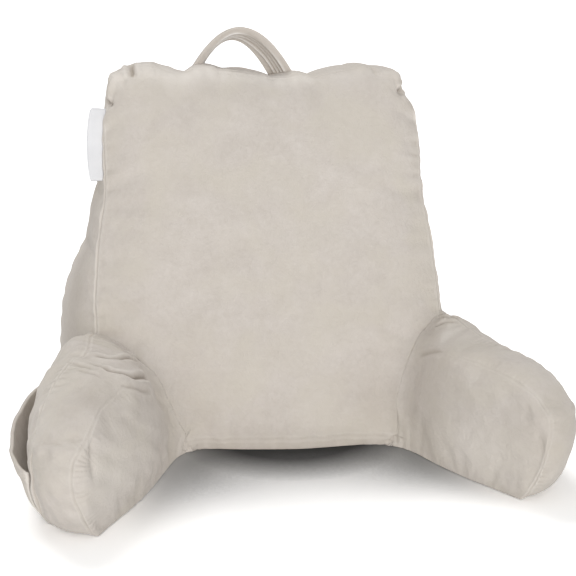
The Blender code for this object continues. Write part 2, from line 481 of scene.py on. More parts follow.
def new_object(name: str, points: Array, faces: Array | list) -> bpy.types.Object:
    """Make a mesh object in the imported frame, its faces pointing outwards.

    Args:
        name: Name of the object and its mesh.
        points: Its points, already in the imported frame.
        faces: Point numbers of each face.

    Returns:
        The linked object.
    """
    mesh = bpy.data.meshes.new(name)
    mesh.from_pydata(points.tolist(), [], [list(map(int, face)) for face in faces])
    shaped = bmesh.new()
    shaped.from_mesh(mesh)
    bmesh.ops.recalc_face_normals(shaped, faces=shaped.faces)
    shaped.to_mesh(mesh)
    shaped.free()
    mesh.shade_smooth()
    return link(name, mesh)


def thick_sheet(
    name: str, inner: Array, outer: Array, steps: tuple[int, int]
) -> bpy.types.Object:
    """Make a closed sheet of cloth from its two faces.

    Args:
        name: Name of the object and its mesh.
        inner: Points of one face, along and then across.
        outer: Points of the other face, in the same order.
        steps: Steps along and across.

    Returns:
        The linked object; the inner face's points come first.
    """
    grid = np.arange(len(inner)).reshape(steps[0] + 1, steps[1] + 1)
    front = grid_quads(grid)
    rim = np.concatenate((grid[:, 0], grid[-1, 1:], grid[-2::-1, -1], grid[0, -2:0:-1]))
    after = np.roll(rim, -1)
    shift = len(inner)
    wall = np.stack([after, rim, rim + shift, after + shift], 1)
    faces = np.concatenate((front, front[:, ::-1] + shift, wall))
    return new_object(name, np.concatenate((inner, outer)), faces)


def get_points(mesh: bpy.types.Mesh) -> Array:
    """A mesh's points as an array."""
    flat = np.empty(len(mesh.vertices) * 3)
    mesh.vertices.foreach_get("co", flat)
    return flat.reshape(-1, 3)


def get_normals(mesh: bpy.types.Mesh) -> Array:
    """A mesh's point normals as an array."""
    flat = np.empty(len(mesh.vertices) * 3)
    mesh.vertices.foreach_get("normal", flat)
    return flat.reshape(-1, 3)


def set_points(mesh: bpy.types.Mesh, points: Array) -> None:
    """Move a mesh's points."""
    mesh.vertices.foreach_set("co", points.astype(np.float32).ravel())
    mesh.update()


def settle(piece: bpy.types.Object) -> None:
    """Turn what a piece's modifiers make of it into its plain mesh."""
    graph = bpy.context.evaluated_depsgraph_get()
    made = bpy.data.meshes.new_from_object(piece.evaluated_get(graph))
    made.name = piece.name
    piece.modifiers.clear()
    old, piece.data = piece.data, made
    bpy.data.meshes.remove(old)


def relax(points: Array, quads: Array, free: Array, rounds: int = 12) -> Array:
    """Round a mesh where it is free to move.

    Args:
        points: The mesh's points.
        quads: Its faces.
        free: How far each point follows its neighbours, 0 to 1.
        rounds: How many times.

    Returns:
        The moved points.
    """
    ends = np.concatenate([quads[:, (k, (k + 1) % 4)] for k in range(4)])
    ends = np.concatenate((ends, ends[:, ::-1]))
    count = np.bincount(ends[:, 0], minlength=len(points))[:, None]
    for _ in range(rounds):
        total = np.zeros_like(points)
        np.add.at(total, ends[:, 0], points[ends[:, 1]])
        points = points + 0.5 * free[:, None] * (total / count - points)
    return points


def subdivide(piece: bpy.types.Object, levels: int = 1) -> None:
    """Round a piece's mesh with subdivision; its first points keep their numbers."""
    rounder = piece.modifiers.new("Rounder", "SUBSURF")
    rounder.levels = rounder.render_levels = levels
    settle(piece)


def bvh_of(piece: bpy.types.Object) -> BVHTree:
    """Search tree of a piece's mesh."""
    mesh = piece.data
    corners = [face.vertices for face in mesh.polygons]
    return BVHTree.FromPolygons([point.co for point in mesh.vertices], corners)


def write_mask(piece: bpy.types.Object, name: str, values: Array) -> None:
    """Keep one number a point on a piece, for its material to read."""
    mask = piece.data.attributes.new(name, "FLOAT", "POINT")
    mask.data.foreach_set("value", values.astype(np.float32))


# ------------------------------------------------------------------ filling and seams


@dataclass(frozen=True)
class Filling:
    """Loose filling: a cloth simulation that blows shells up with their seams held."""

    pressure: float = 4.0
    growth: float = 0.020
    quality: int = 6
    mass: float = 0.3
    stretch_stiffness: float = 14.0
    shear_stiffness: float = 6.0
    bending_stiffness: float = 0.4
    frames: int = 20
    farthest: float = 0.012

    def fit(self, piece: bpy.types.Object, held: Array) -> None:
        """Put the simulation on a piece.

        Args:
            piece: The closed shell to fill.
            held: How firmly each point is held, 0 to 1.
        """
        group = piece.vertex_groups.new(name="held")
        for level in np.unique(held):
            if level > 0:
                group.add(np.flatnonzero(held == level).tolist(), float(level), "REPLACE")
        cloth = piece.modifiers.new("Filling", "CLOTH")
        settings = cloth.settings
        settings.quality = self.quality
        settings.mass = self.mass
        settings.tension_stiffness = settings.compression_stiffness = self.stretch_stiffness
        settings.shear_stiffness = self.shear_stiffness
        settings.bending_stiffness = self.bending_stiffness
        settings.use_pressure = True
        settings.uniform_pressure_force = self.pressure
        settings.shrink_min = -self.growth
        settings.effector_weights.gravity = 0
        settings.vertex_group_mass = group.name
        settings.pin_stiffness = 1
        cloth.point_cache.frame_start = 1
        cloth.point_cache.frame_end = self.frames

    def run(self, pieces: Sequence[bpy.types.Object]) -> None:
        """Run the simulation on all pieces together and keep its result."""
        scene = bpy.context.scene
        starts = [get_points(piece.data) for piece in pieces]
        for number in range(1, self.frames + 1):
            scene.frame_set(number)
        graph = bpy.context.evaluated_depsgraph_get()
        for piece, start in zip(pieces, starts):
            filled = get_points(piece.evaluated_get(graph).data)
            moved = filled - start
            reach = np.linalg.norm(moved, axis=1, keepdims=True)
            limit = self.farthest * np.tanh(reach / self.farthest) / np.maximum(reach, 1e-9)
            LOG.info("%s filled, farthest move %.1f mm", piece.name, 1000 * reach.max())
            piece.modifiers.clear()
            piece.vertex_groups.clear()
            set_points(piece.data, start + moved * limit)
        scene.frame_set(1)


def ironed(path: Array, rounds: int = 6) -> Array:
    """A path with its small zigzags evened out and its ends kept."""
    path = path.copy()
    for _ in range(rounds):
        path[1:-1] = 0.5 * path[1:-1] + 0.25 * (path[:-2] + path[2:])
    return path


class SeamLine:
    """A line over a finished mesh, for puckers or a fold beside it."""

    def __init__(self, path: Array, spacing: float = 0.001) -> None:
        """Measure the path and lay close points along it."""
        arc = arc_along(path)
        self.length = arc[-1]
        self.arc = np.linspace(0, self.length, max(int(self.length / spacing), 8))
        self.points = at_arc(path, arc, self.arc)
        self.tree = KDTree(len(self.points))
        for number, point in enumerate(self.points):
            self.tree.insert(point, number)
        self.tree.balance()

    def near(self, points: Array, reach: float) -> tuple[Array, Array]:
        """Distance to the seam and place along it, for points within reach of it.

        Args:
            points: The points to measure.
            reach: Distance past which a point is left alone.

        Returns:
            Distances, infinite when out of reach, and places along the seam.
        """
        distance = np.full(len(points), np.inf)
        place = np.zeros(len(points))
        low, high = self.points.min(0) - reach, self.points.max(0) + reach
        for i in np.flatnonzero(((points > low) & (points < high)).all(1)):
            _, number, gap = self.tree.find(points[i])
            if gap < reach:
                distance[i] = gap
                place[i] = self.arc[number]
        return distance, place


class Relief(NamedTuple):
    """What a seam or a fold does to points: height, a painted highlight on its edges and painted
    shade in its depths.
    """

    height: Array
    light: Array
    dark: Array


@dataclass(frozen=True)
class Puckers:
    """Gathers that a seam pulls into the cloth beside it."""

    groove: float = 0.0014
    groove_width: float = 0.0020
    welt: float = 0.0005
    height: float = 0.0011
    wavelength: float = 0.011
    reach: float = 0.017
    # How strong the painted highlight and painted shade along the seam are, and their share on the
    # gathers' crests and troughs.
    light: float = 1.0
    ridges: float = 0.3
    profile: tuple[tuple[float, float], ...] = ((0.0, 1.0), (1.0, 1.0))
    lean: Place = (0.0, 0.0, 0.0)
    seed: int = 1

    def shape(self, points: Array, seam: SeamLine) -> Relief:
        """What the seam and its gathers do to points beside it.

        Args:
            points: Points of the mesh beside the seam.
            seam: The seam.

        Returns:
            Height to add along each normal, and the painted highlight and painted shade.
        """
        gap, place = seam.near(points, self.reach * 2.4)
        near = np.isfinite(gap)
        gap = np.where(near, gap, 1.0)
        strength = np.interp(place / seam.length, *zip(*self.profile))
        # Where the puckers lean, they are strong on one side of the seam only.
        aside = ((points - at_arc(seam.points, seam.arc, place)) * self.lean).sum(1)
        aside = aside / np.maximum(gap, 1e-6)
        leaning = mix(1.0, ramp(-0.3, 0.5, aside), 0.85) if any(self.lean) else 1.0
        # The gathers are waves along the seam, uneven in pace, height and reach.
        pace = 0.9 * wander(self.seed, place, 2.8 * self.wavelength)
        phase = 2 * np.pi * (place / self.wavelength + pace)
        swing = 0.5 + 0.5 * wander(self.seed + 1, place, 4.3 * self.wavelength)
        fine = 0.35 * np.cos(1.9 * phase + 1.0)
        far = self.reach * (1 + 0.4 * wander(self.seed + 2, place, 1.1 * self.wavelength))
        rise = ramp(0.0, 0.3 * self.reach, gap) * bell(gap, far)
        waves = swing * (np.cos(phase) + fine) * rise * leaning
        height = self.height * waves
        # The thread draws a groove, and the cloth rolls up into a welt beside it.
        groove = -self.groove * bell(gap, self.groove_width)
        beside = bell(gap - 1.6 * self.groove_width, 0.8 * self.groove_width)
        # The welt and the gathers' crests get a painted highlight; the groove and the troughs get
        # painted shade.
        light = self.light * (0.7 * beside + 0.3 * np.clip(waves, 0, 1) * self.ridges)
        dark = 0.3 * self.light * bell(gap, 0.7 * self.groove_width)
        dark = np.maximum(dark, np.clip(-waves, 0, 1) * self.ridges)
        raised = height + groove + self.welt * beside
        return Relief(*(np.where(near, part * strength, 0.0) for part in (raised, light, dark)))


def lay_on(path: Array, tree: BVHTree) -> Array:
    """A path with its corners rounded and its points moved onto a surface."""
    arc, spacing = arc_along(path), 0.004
    close = np.linspace(0, arc[-1], max(int(arc[-1] / spacing), 6))
    path = ironed(at_arc(path, arc, close), 4)
    return np.array([tree.find_nearest(Vector(point))[0] for point in path])


def press_crease(points: Array, crease: Crease, tree: BVHTree) -> Relief:
    """What one fold does to points: a valley with raised banks beside it.

    Args:
        points: Points of the mesh.
        crease: The fold, in the panels' own coordinates.
        tree: Search tree of the mesh.

    Returns:
        Height to add along each point's normal, and the painted highlight and painted shade.
    """
    seam = SeamLine(lay_on(np.array(crease.points) - FOOTPRINT, tree))
    gap, place = seam.near(points, crease.width * 5)
    near = np.isfinite(gap)
    gap = np.where(near, gap, 1.0)
    share = place / seam.length
    # The fold fades towards both ends, and past them it rounds off.
    fade = ramp(0.0, 0.2, share) * ramp(1.0, 0.75, share)
    valley = bell(gap, crease.width)
    past_end = np.where((share < 0.01) | (share > 0.99), valley, 1.0)
    fade = np.maximum(fade, 0.12) * past_end
    bank = bell(gap - 2.0 * crease.width, 1.2 * crease.width)
    height = crease.shoulder * bank - crease.depth * valley
    # Painted shade in the valley, and a painted highlight on its banks.
    dark = crease.shade * bell(gap, 0.6 * crease.width)
    light = 0.5 * crease.shade * bell(gap - 1.8 * crease.width, 0.6 * crease.width)
    return Relief(*(np.where(near, part * fade, 0.0) for part in (height, light, dark)))


def press_painted_dip(points: Array, painted_dip: PaintedDip) -> Relief:
    """What one shallow dip does to points, with its painted shade or painted highlight."""
    gap = np.linalg.norm(points + FOOTPRINT - np.array(painted_dip.place), axis=1)
    dip = bell(gap, painted_dip.reach)
    # A positive shade paints shade over the dip, a negative one paints a highlight.
    lighter, darker = max(-painted_dip.shade, 0.0), max(painted_dip.shade, 0.0)
    return Relief(-painted_dip.depth * dip, lighter * dip, darker * dip)


# ------------------------------------------------------------------------- materials


class NodeSheet:
    """A node tree being laid out: adds nodes, sets their sockets and links them."""

    def __init__(self, tree: bpy.types.NodeTree) -> None:
        """Start on an emptied tree."""
        self.tree = tree
        tree.nodes.clear()

    def add(self, kind: str, inputs: dict | None = None, **settings: object) -> bpy.types.Node:
        """Add a node.

        Args:
            kind: Blender's node type name.
            inputs: Values or output sockets, by input name or number.
            **settings: The node's own properties.

        Returns:
            The new node.
        """
        node = self.tree.nodes.new(kind)
        for name, value in settings.items():
            setattr(node, name, value)
        for key, value in (inputs or {}).items():
            if isinstance(value, bpy.types.NodeSocket):
                self.tree.links.new(value, node.inputs[key])
            else:
                node.inputs[key].default_value = value
        return node

    def span(
        self,
        value: Socket,
        given: tuple[float, float],
        made: tuple[Socket | float, float] = (0.0, 1.0),
        **settings: object,
    ) -> Socket:
        """Map one range of numbers onto another.

        Args:
            value: The number to map.
            given: The range that it is read in.
            made: The range that it becomes.
            **settings: The node's own properties.

        Returns:
            The mapped number.
        """
        names = ("From Min", "From Max", "To Min", "To Max")
        inputs = {"Value": value, **dict(zip(names, (*given, *made)))}
        return self.add("ShaderNodeMapRange", inputs, **settings).outputs[0]

    def tint(self, share: Socket, under: Socket | Color, over: Socket | Color) -> Socket:
        """Lay a share of one colour over another."""
        colors = [part if isinstance(part, Socket) else (*part, 1.0) for part in (under, over)]
        # A Mix node's colours are its inputs 6 and 7 and its output 2.
        inputs = {"Factor": share, 6: colors[0], 7: colors[1]}
        return self.add("ShaderNodeMix", inputs, data_type="RGBA").outputs[2]

    def finish(self, kind: str, inputs: dict, output: str = "ShaderNodeOutputMaterial") -> None:
        """End the tree with one shader."""
        self.add(output, {"Surface": self.add(kind, inputs).outputs[0]})


def new_group(
    name: str, takes: dict[str, float], gives: Sequence[str]
) -> tuple[bpy.types.ShaderNodeTree, NodeSheet]:
    """Make a shader node group.

    Args:
        name: Its name.
        takes: Its inputs, with the number that each has at first.
        gives: Its outputs, all numbers.

    Returns:
        The group and the sheet to lay its nodes out on.
    """
    tree = bpy.data.node_groups.new(name, "ShaderNodeTree")
    for label, value in takes.items():
        socket = tree.interface.new_socket(label, in_out="INPUT", socket_type="NodeSocketFloat")
        socket.default_value = value
    for label in gives:
        tree.interface.new_socket(label, in_out="OUTPUT", socket_type="NodeSocketFloat")
    return tree, NodeSheet(tree)


def new_material(name: str) -> tuple[bpy.types.Material, NodeSheet]:
    """Make a material, and the sheet to lay its nodes out on."""
    material = bpy.data.materials.new(name)
    material.use_nodes = True
    return material, NodeSheet(material.node_tree)


def pile_group() -> bpy.types.ShaderNodeTree:
    """Short velvet pile: brushed patches, mottling and the height of the pile."""
    sizes = {"Patch Size": 22.0, "Mottle Size": 190.0, "Pile Size": 900.0}
    tree, sheet = new_group("velvet_pile", sizes, ("Shade", "Warmth", "Height"))
    given = sheet.add("NodeGroupInput")
    place = sheet.add("ShaderNodeTexCoord").outputs["Object"]

    def cloud(scale: Socket | float, detail: float, rough: float, bent: float) -> Socket:
        """Noise at one scale."""
        names = ("Vector", "Scale", "Detail", "Roughness", "Distortion")
        values = dict(zip(names, (place, scale, detail, rough, bent)))
        return sheet.add("ShaderNodeTexNoise", values).outputs["Fac"]

    def blend(*layers: tuple[Socket, float]) -> Socket:
        """The sum of some sockets, each times its share."""
        total = 0.0
        for socket, share in reversed(layers):
            inputs = {0: socket, 1: share, 2: total}
            total = sheet.add("ShaderNodeMath", inputs, operation="MULTIPLY_ADD").outputs[0]
        return total

    patches = cloud(given.outputs["Patch Size"], 3.0, 0.6, 0.8)
    mottle = cloud(given.outputs["Mottle Size"], 3.0, 0.6, 0.5)
    pile = cloud(given.outputs["Pile Size"], 2.0, 0.7, 0.0)
    strokes = cloud(70.0, 4.0, 0.65, 1.6)
    summed = blend((patches, 0.9), (mottle, 0.55), (pile, 0.25), (strokes, 0.55))
    shade = sheet.span(summed, (0.62, 1.62))
    warmth = cloud(17.0, 2.0, 0.5, 0.4)
    height = blend((mottle, 1.0), (strokes, 1.6), (pile, 0.35))
    sheet.add("NodeGroupOutput", {"Shade": shade, "Warmth": warmth, "Height": height})
    return tree


def weave_group() -> bpy.types.ShaderNodeTree:
    """Fine flat weave over a UV map in metres: threads both ways."""
    tree, sheet = new_group("fine_weave", {"Threads": 1800.0}, ("Height", "Shade"))
    given = sheet.add("NodeGroupInput")
    flat = sheet.add("ShaderNodeUVMap", uv_map="UVMap").outputs["UV"]
    waves = [
        sheet.add(
            "ShaderNodeTexWave",
            {"Vector": flat, "Scale": given.outputs["Threads"], "Distortion": 0.3},
            bands_direction=way,
        )
        for way in ("X", "Y")
    ]
    threads = {0: waves[0].outputs["Fac"], 1: waves[1].outputs["Fac"]}
    height = sheet.add("ShaderNodeMath", threads, operation="MULTIPLY")
    cloud = sheet.add("ShaderNodeTexNoise", {"Vector": flat, "Scale": 60.0, "Detail": 2.0})
    sheet.add("NodeGroupOutput", {"Height": height.outputs[0], "Shade": cloud.outputs["Fac"]})
    return tree


@dataclass(frozen=True)
class VelvetFinish:
    """Brushed velvet in one of the pillow's shades, with painted highlights and painted shade laid
    over it.
    """

    name: str
    dark: Color
    light: Color
    warm: Color
    # Colour of the painted highlights on welts, crests and the crown.
    edge: Color
    # Colour of the painted shade in grooves, folds and patches.
    painted_shade: Color
    roughness: float = 0.9
    sheen: float = 0.25
    bump: float = 0.0011

    def make(self, pile: bpy.types.ShaderNodeTree) -> bpy.types.Material:
        """Build the material around the shared pile group."""
        material, sheet = new_material(self.name)
        cloth = sheet.add("ShaderNodeGroup", node_tree=pile)
        toned = sheet.tint(cloth.outputs["Shade"], self.dark, self.light)
        warmth = sheet.span(cloth.outputs["Warmth"], (0.40, 0.66), (0.0, 0.55))
        toned = sheet.tint(warmth, toned, self.warm)
        # The seam mask paints highlights and the fold mask paints shade.
        for mask, color in (("seam", self.edge), ("fold", self.painted_shade)):
            share = sheet.add("ShaderNodeAttribute", attribute_name=mask).outputs["Fac"]
            toned = sheet.tint(share, toned, color)
        bump = sheet.add(
            "ShaderNodeBump",
            {"Strength": 0.5, "Distance": self.bump, "Height": cloth.outputs["Height"]},
        )
        sheet.finish(
            "ShaderNodeBsdfPrincipled",
            {
                "Base Color": toned,
                "Roughness": self.roughness,
                "Specular IOR Level": 0.15,
                "Sheen Weight": self.sheen,
                "Sheen Roughness": 0.5,
                "Sheen Tint": (1.0, 0.97, 0.94, 1.0),
                "Normal": bump.outputs[0],
            },
        )
        return material


@dataclass(frozen=True)
class SatinFinish:
    """Smooth white satin tape, bare."""

    name: str = "satin_tape"
    color: Color = (0.86, 0.86, 0.87)
    shade: Color = (0.76, 0.76, 0.78)
    roughness: float = 0.42

    def make(self, weave: bpy.types.ShaderNodeTree) -> bpy.types.Material:
        """Build the material around the shared weave group."""
        material, sheet = new_material(self.name)
        cloth = sheet.add("ShaderNodeGroup", node_tree=weave)
        bump = sheet.add(
            "ShaderNodeBump",
            {"Strength": 0.4, "Distance": 0.0001, "Height": cloth.outputs["Height"]},
        )
        sheet.finish(
            "ShaderNodeBsdfPrincipled",
            {
                "Base Color": sheet.tint(cloth.outputs["Shade"], self.shade, self.color),
                "Roughness": self.roughness,
                "Sheen Weight": 0.1,
                "Normal": bump.outputs[0],
            },
        )
        return material


@dataclass(frozen=True)
class PlainFinish:
    """Thread: one colour broken up by a soft cloud."""

    name: str
    dark: Color
    light: Color
    roughness: float = 0.8
    cloud: float = 40.0

    def make(self) -> bpy.types.Material:
        """Build the material."""
        material, sheet = new_material(self.name)
        place = sheet.add("ShaderNodeTexCoord").outputs["Object"]
        values = {"Vector": place, "Scale": self.cloud, "Detail": 2.0}
        cloud = sheet.add("ShaderNodeTexNoise", values).outputs["Fac"]
        sheet.finish(
            "ShaderNodeBsdfPrincipled",
            {
                "Base Color": sheet.tint(cloud, self.dark, self.light),
                "Roughness": self.roughness,
                "Specular IOR Level": 0.2,
            },
        )
        return material


class Wardrobe:
    """Every finish of the pillow, each made once."""

    def __init__(self) -> None:
        """Make the shared groups and the materials."""
        pile, weave = pile_group(), weave_group()
        self.velvet = VelvetFinish(
            "velvet",
            dark=(0.565, 0.512, 0.457),
            light=(0.715, 0.662, 0.612),
            warm=(0.650, 0.600, 0.520),
            # Colours of the painted highlight and the painted shade.
            edge=(0.800, 0.750, 0.690),
            painted_shade=(0.360, 0.310, 0.255),
        ).make(pile)
        self.strap_velvet = VelvetFinish(
            "strap_velvet",
            dark=(0.680, 0.635, 0.585),
            light=(0.840, 0.800, 0.755),
            warm=(0.720, 0.665, 0.605),
            # Colours of the painted highlight and the painted shade.
            edge=(0.960, 0.935, 0.900),
            painted_shade=(0.420, 0.360, 0.300),
        ).make(pile)
        self.satin = SatinFinish().make(weave)
        self.thread = PlainFinish(
            "thread", dark=(0.62, 0.57, 0.50), light=(0.70, 0.65, 0.58)
        ).make()


# --------------------------------------------------------------------------- pieces


@dataclass
class BackCushion:
    """The filled back: a front and a rear panel and the gusset between them."""

    steps: tuple[int, int, int] = (74, 78, 24)
    rounding: int = 1
    corner_sharpness: float = 26.0
    front_puff: float = 0.027
    rear_puff: float = 0.018
    side_puff: float = 0.004
    top_puff: float = 0.006
    top_roll: float = 0.8
    crumple: float = 0.00012
    grain: Place = (0.0, 0.0, 0.0)
    top_seam: int = 5
    base_seam: int = 4
    side_seams: tuple[tuple[float, float], ...] = (
        (0.00, 0.00),
        (0.66, 0.00),
        (0.80, 0.08),
        (0.92, 0.17),
        (1.00, 0.21),
    )
    rows: tuple[BackRow, ...] = (
        BackRow(-0.004, 0.207, 0.202, 0.016, 0.262, 0.230, 0.196),
        BackRow(0.060, 0.213, 0.206, 0.050, 0.268, 0.228, 0.202),
        BackRow(0.160, 0.221, 0.208, 0.086, 0.259, 0.214, 0.213),
        BackRow(0.235, 0.214, 0.202, 0.113, 0.226, 0.200, 0.223),
        BackRow(0.300, 0.203, 0.196, 0.137, 0.207, 0.190, 0.232),
        BackRow(0.370, 0.199, 0.194, 0.162, 0.190, 0.181, 0.243),
        BackRow(0.432, 0.195, 0.184, 0.184, 0.178, 0.170, 0.252),
    )
    edges: tuple[EdgeRow, ...] = (
        EdgeRow(0.00, 0.003, 0.040),
        EdgeRow(0.12, 0.013, 0.038),
        EdgeRow(0.24, 0.001, 0.028),
        EdgeRow(0.30, 0.009, 0.019),
        EdgeRow(0.38, 0.005, 0.011),
        EdgeRow(0.54, -0.004, 0.000),
        EdgeRow(0.60, -0.004, -0.001),
        EdgeRow(0.645, -0.001, -0.001),
        EdgeRow(0.69, -0.006, -0.001),
        EdgeRow(0.73, -0.002, -0.001),
        EdgeRow(0.82, 0.002, 0.000),
        EdgeRow(0.87, 0.005, 0.000),
        EdgeRow(0.92, 0.0015, 0.000),
        EdgeRow(1.00, 0.005, 0.000),
    )
    tucks: tuple[TuckRow, ...] = (
        TuckRow(0.078, 1.00, 0.008, 0.010, 1.0),
        TuckRow(0.000, 0.94, 0.007, 0.014),
        TuckRow(0.905, 1.00, 0.0035, 0.014, 0.15),
        TuckRow(1.000, 0.965, 0.014, 0.015, 0.5),
    )
    # Painted highlights at the left of the crown, and painted shade beside each arm's root.
    patches: tuple[PaintedDip, ...] = (
        PaintedDip((-0.150, 0.190, 0.446), 0.020, 0.0, -0.85),
        PaintedDip((-0.115, 0.198, 0.440), 0.018, 0.0, -0.75),
        PaintedDip((0.118, 0.000, 0.050), 0.045, 0.0, 0.24),
        PaintedDip((-0.110, 0.006, 0.050), 0.045, 0.0, 0.14),
    )

    def panel(self, left: str, right: str, depth: str, a: Array, c: Array) -> Array:
        """Flat points of the front or rear panel, its upper corners rounded.

        Args:
            left: Table column of the panel's left half width.
            right: Table column of its right half width.
            depth: Table column of its depth.
            a: Shares across the panel.
            c: Shares up it.

        Returns:
            One point for each pair of shares.
        """
        across, up = 2 * a - 1, 2 * c - 1
        largest = np.maximum(np.abs(across), up)
        turns = (up > 0) & (largest > 0.5)
        ratio = np.where(turns, np.minimum(np.abs(across), up) / np.where(turns, largest, 1.0), 0.0)
        ratio = np.clip(ratio, 0.0, 1.0)
        n = self.corner_sharpness
        drawn = np.where(turns, mix(1.0, (1 + ratio**n) ** (-1 / n), 2 * largest - 1), 1.0)
        a, c = (across * drawn + 1) / 2, (up * drawn + 1) / 2
        top = self.rows[-1].height + smooth(self.edges, "top_rise", a) * np.maximum(c, 0) ** 6
        z = top * c
        x = mix(-smooth(self.rows, left, z), smooth(self.rows, right, z), a)
        return np.stack([x, smooth(self.rows, depth, z), z], -1)

    def front(self, a: Array, c: Array) -> Array:
        """Flat front panel, its bottom edge drawn back at the left."""
        points = self.panel("left", "right", "front", a, c)
        points[..., 1] += smooth(self.edges, "drawn_back", a) * (1 - np.clip(c, 0, 1)) ** 9
        return points

    def rear(self, a: Array, c: Array) -> Array:
        """Flat rear panel."""
        return self.panel("rear_left", "rear_right", "rear", a, c)

    def middle(self, a: Array, c: Array) -> Array:
        """Points midway between the two panels."""
        return mix(self.front(a, c), self.rear(a, c), 0.5)

    def tuck(self, points: Array) -> Array:
        """Pull points in where the tucks pinch the corners."""
        one = np.array([0.5])
        middle = self.front(one, one)[0]
        for row in self.tucks:
            pinned = self.front(np.array([row.across]), np.array([row.up]))[0]
            gap = np.linalg.norm(points - pinned, axis=1, keepdims=True)
            points = points + unit(middle - pinned) * row.depth * bell(gap, row.reach)
        return points

    def creases(self) -> list[Crease]:
        """Short folds over the edge at each tuck, from the front panel to the seam."""
        folds = []
        for row in self.tucks:
            if row.up == 1:
                steps = ((0.985, 0), (1, 0), (1, 0.25), (1, 0.5))
                shares = [(row.across, *step) for step in steps]
            else:
                inward = 1 if row.across == 0 else -1
                shares = [(row.across + inward * step, row.up, 0) for step in (0.018, 0.009)]
                shares += [(row.across, row.up, 0), (row.across, row.up, 0.25)]
            points = tuple(map(tuple, self.skin(np.array(shares, float))))
            folds.append(Crease(points, row.depth * 0.7, 0.0038, row.depth * 0.18, row.shade))
        return folds

    def hollows(self) -> list[PaintedDip]:
        """Painted shade at the base and the gusset, and painted highlights along the crown."""
        base = self.front(np.linspace(0.16, 0.88, 16), np.full(16, 0.01))
        painted_patches = [PaintedDip(tuple(place), 0.020, 0.0, 0.34) for place in base]
        shares = np.linspace(0.03, 0.97, 22)
        crown = self.front(shares, np.ones(22)) + 0.004 * UP
        for share, place in zip(shares, crown):
            reach = 0.018 if share < 0.4 else 0.014
            painted_patches.append(PaintedDip(tuple(place), reach, 0.0, -0.9 if share < 0.7 else -0.25))
        up = np.linspace(0.30, 0.70, 9)
        gusset = mix(self.front(0 * up, up), self.rear(0 * up, up), 0.45)
        painted_patches += [PaintedDip(tuple(place), 0.034, 0.0, 0.42) for place in gusset]
        return [*painted_patches, *self.patches]

    def skin(self, shares: Array) -> Array:
        """Points of the puffed skin for shares across, up and through the back."""
        a, c, d = shares.T
        share = d[:, None]
        flat = mix(self.front(a, c), self.rear(a, c), share)
        roll = UP * (self.top_roll * np.maximum(2 * c - 1, 0) ** 3)[:, None]
        ahead = unit(facing(self.front, a, c, np.array((0.0, -1.0, 0.0))) + roll)
        behind = facing(self.rear, a, c, np.array((0.0, 1.0, 0.0)))
        depth = self.rear(a, c) - self.front(a, c)
        sideways = outline_facing(self.middle, a, c, depth)
        puff = np.where(c == 1, self.top_puff, self.side_puff) * dome(d) * (c > 0)
        front = ahead * (self.front_puff * dome(a) * dome(c, 0.55))[:, None]
        rear = behind * (self.rear_puff * dome(a) * dome(c))[:, None]
        around = np.where(share == 1, rear, sideways * puff[:, None])
        return floored(self.tuck(flat + np.where(share == 0, front, around)))

    def build(self) -> bpy.types.Object:
        """Lay the back's lattice out, with its seams noted on it."""
        shell = Shell.of(self.steps)
        shares = shell.shares()
        piece = new_object("back_velvet", self.skin(shares) - FOOTPRINT, shell.quads)
        i, j, k = self.steps
        up = np.arange(self.base_seam, j + 1)
        depths = np.rint(np.interp(up / j, *zip(*self.side_seams)) * k).astype(int)
        self.seams = {
            "front_left": shell.index[0, up, depths],
            "front_top": shell.line(None, j, self.top_seam),
            "front_right": shell.index[i, up, depths],
            "rear_left": shell.line(0, None, k),
            "rear_top": shell.line(None, j, k),
            "rear_right": shell.line(i, None, k),
            "base": shell.line(None, self.base_seam, 0),
        }
        self.held = np.where(shell.keys[:, 1] == 0, 1.0, 0.0)
        for name, line in self.seams.items():
            # The front seams are left free at the corners, where the tucks are.
            ends = slice(3, -3) if "front" in name else slice(None)
            if name != "base":
                self.held[line[ends]] = 1.0
        across, up, through = shell.keys.T
        to_side = np.minimum(across, i - across)
        self.free = 0.7 * bell(np.hypot(j - up, through), EDGE_STEPS) * (1 - self.held)
        self.free = self.free * ramp(0, 2, to_side)
        self.quads = shell.quads
        return piece

    def puckers(self) -> dict[str, Puckers]:
        """How each seam gathers the cloth beside it."""
        edge = Puckers(
            groove_width=0.0015, welt=0.0009, height=0.0008, wavelength=0.019, reach=0.016, seed=2
        )
        top = Puckers(
            groove=0.0009, height=0.0014, wavelength=0.023, reach=0.022, light=0.3, ridges=0.15
        )
        rear = Puckers(height=0.0008, wavelength=0.029, reach=0.020, light=0.7)
        return {
            "front_left": edge,
            "front_top": replace(top, seed=7),
            "front_right": replace(edge, seed=12),
            "rear_left": replace(rear, seed=17),
            "rear_top": replace(rear, seed=22),
            "rear_right": replace(rear, seed=27),
            "base": Puckers(groove=0.0008, height=0.0005, light=0.5, seed=32),
        }


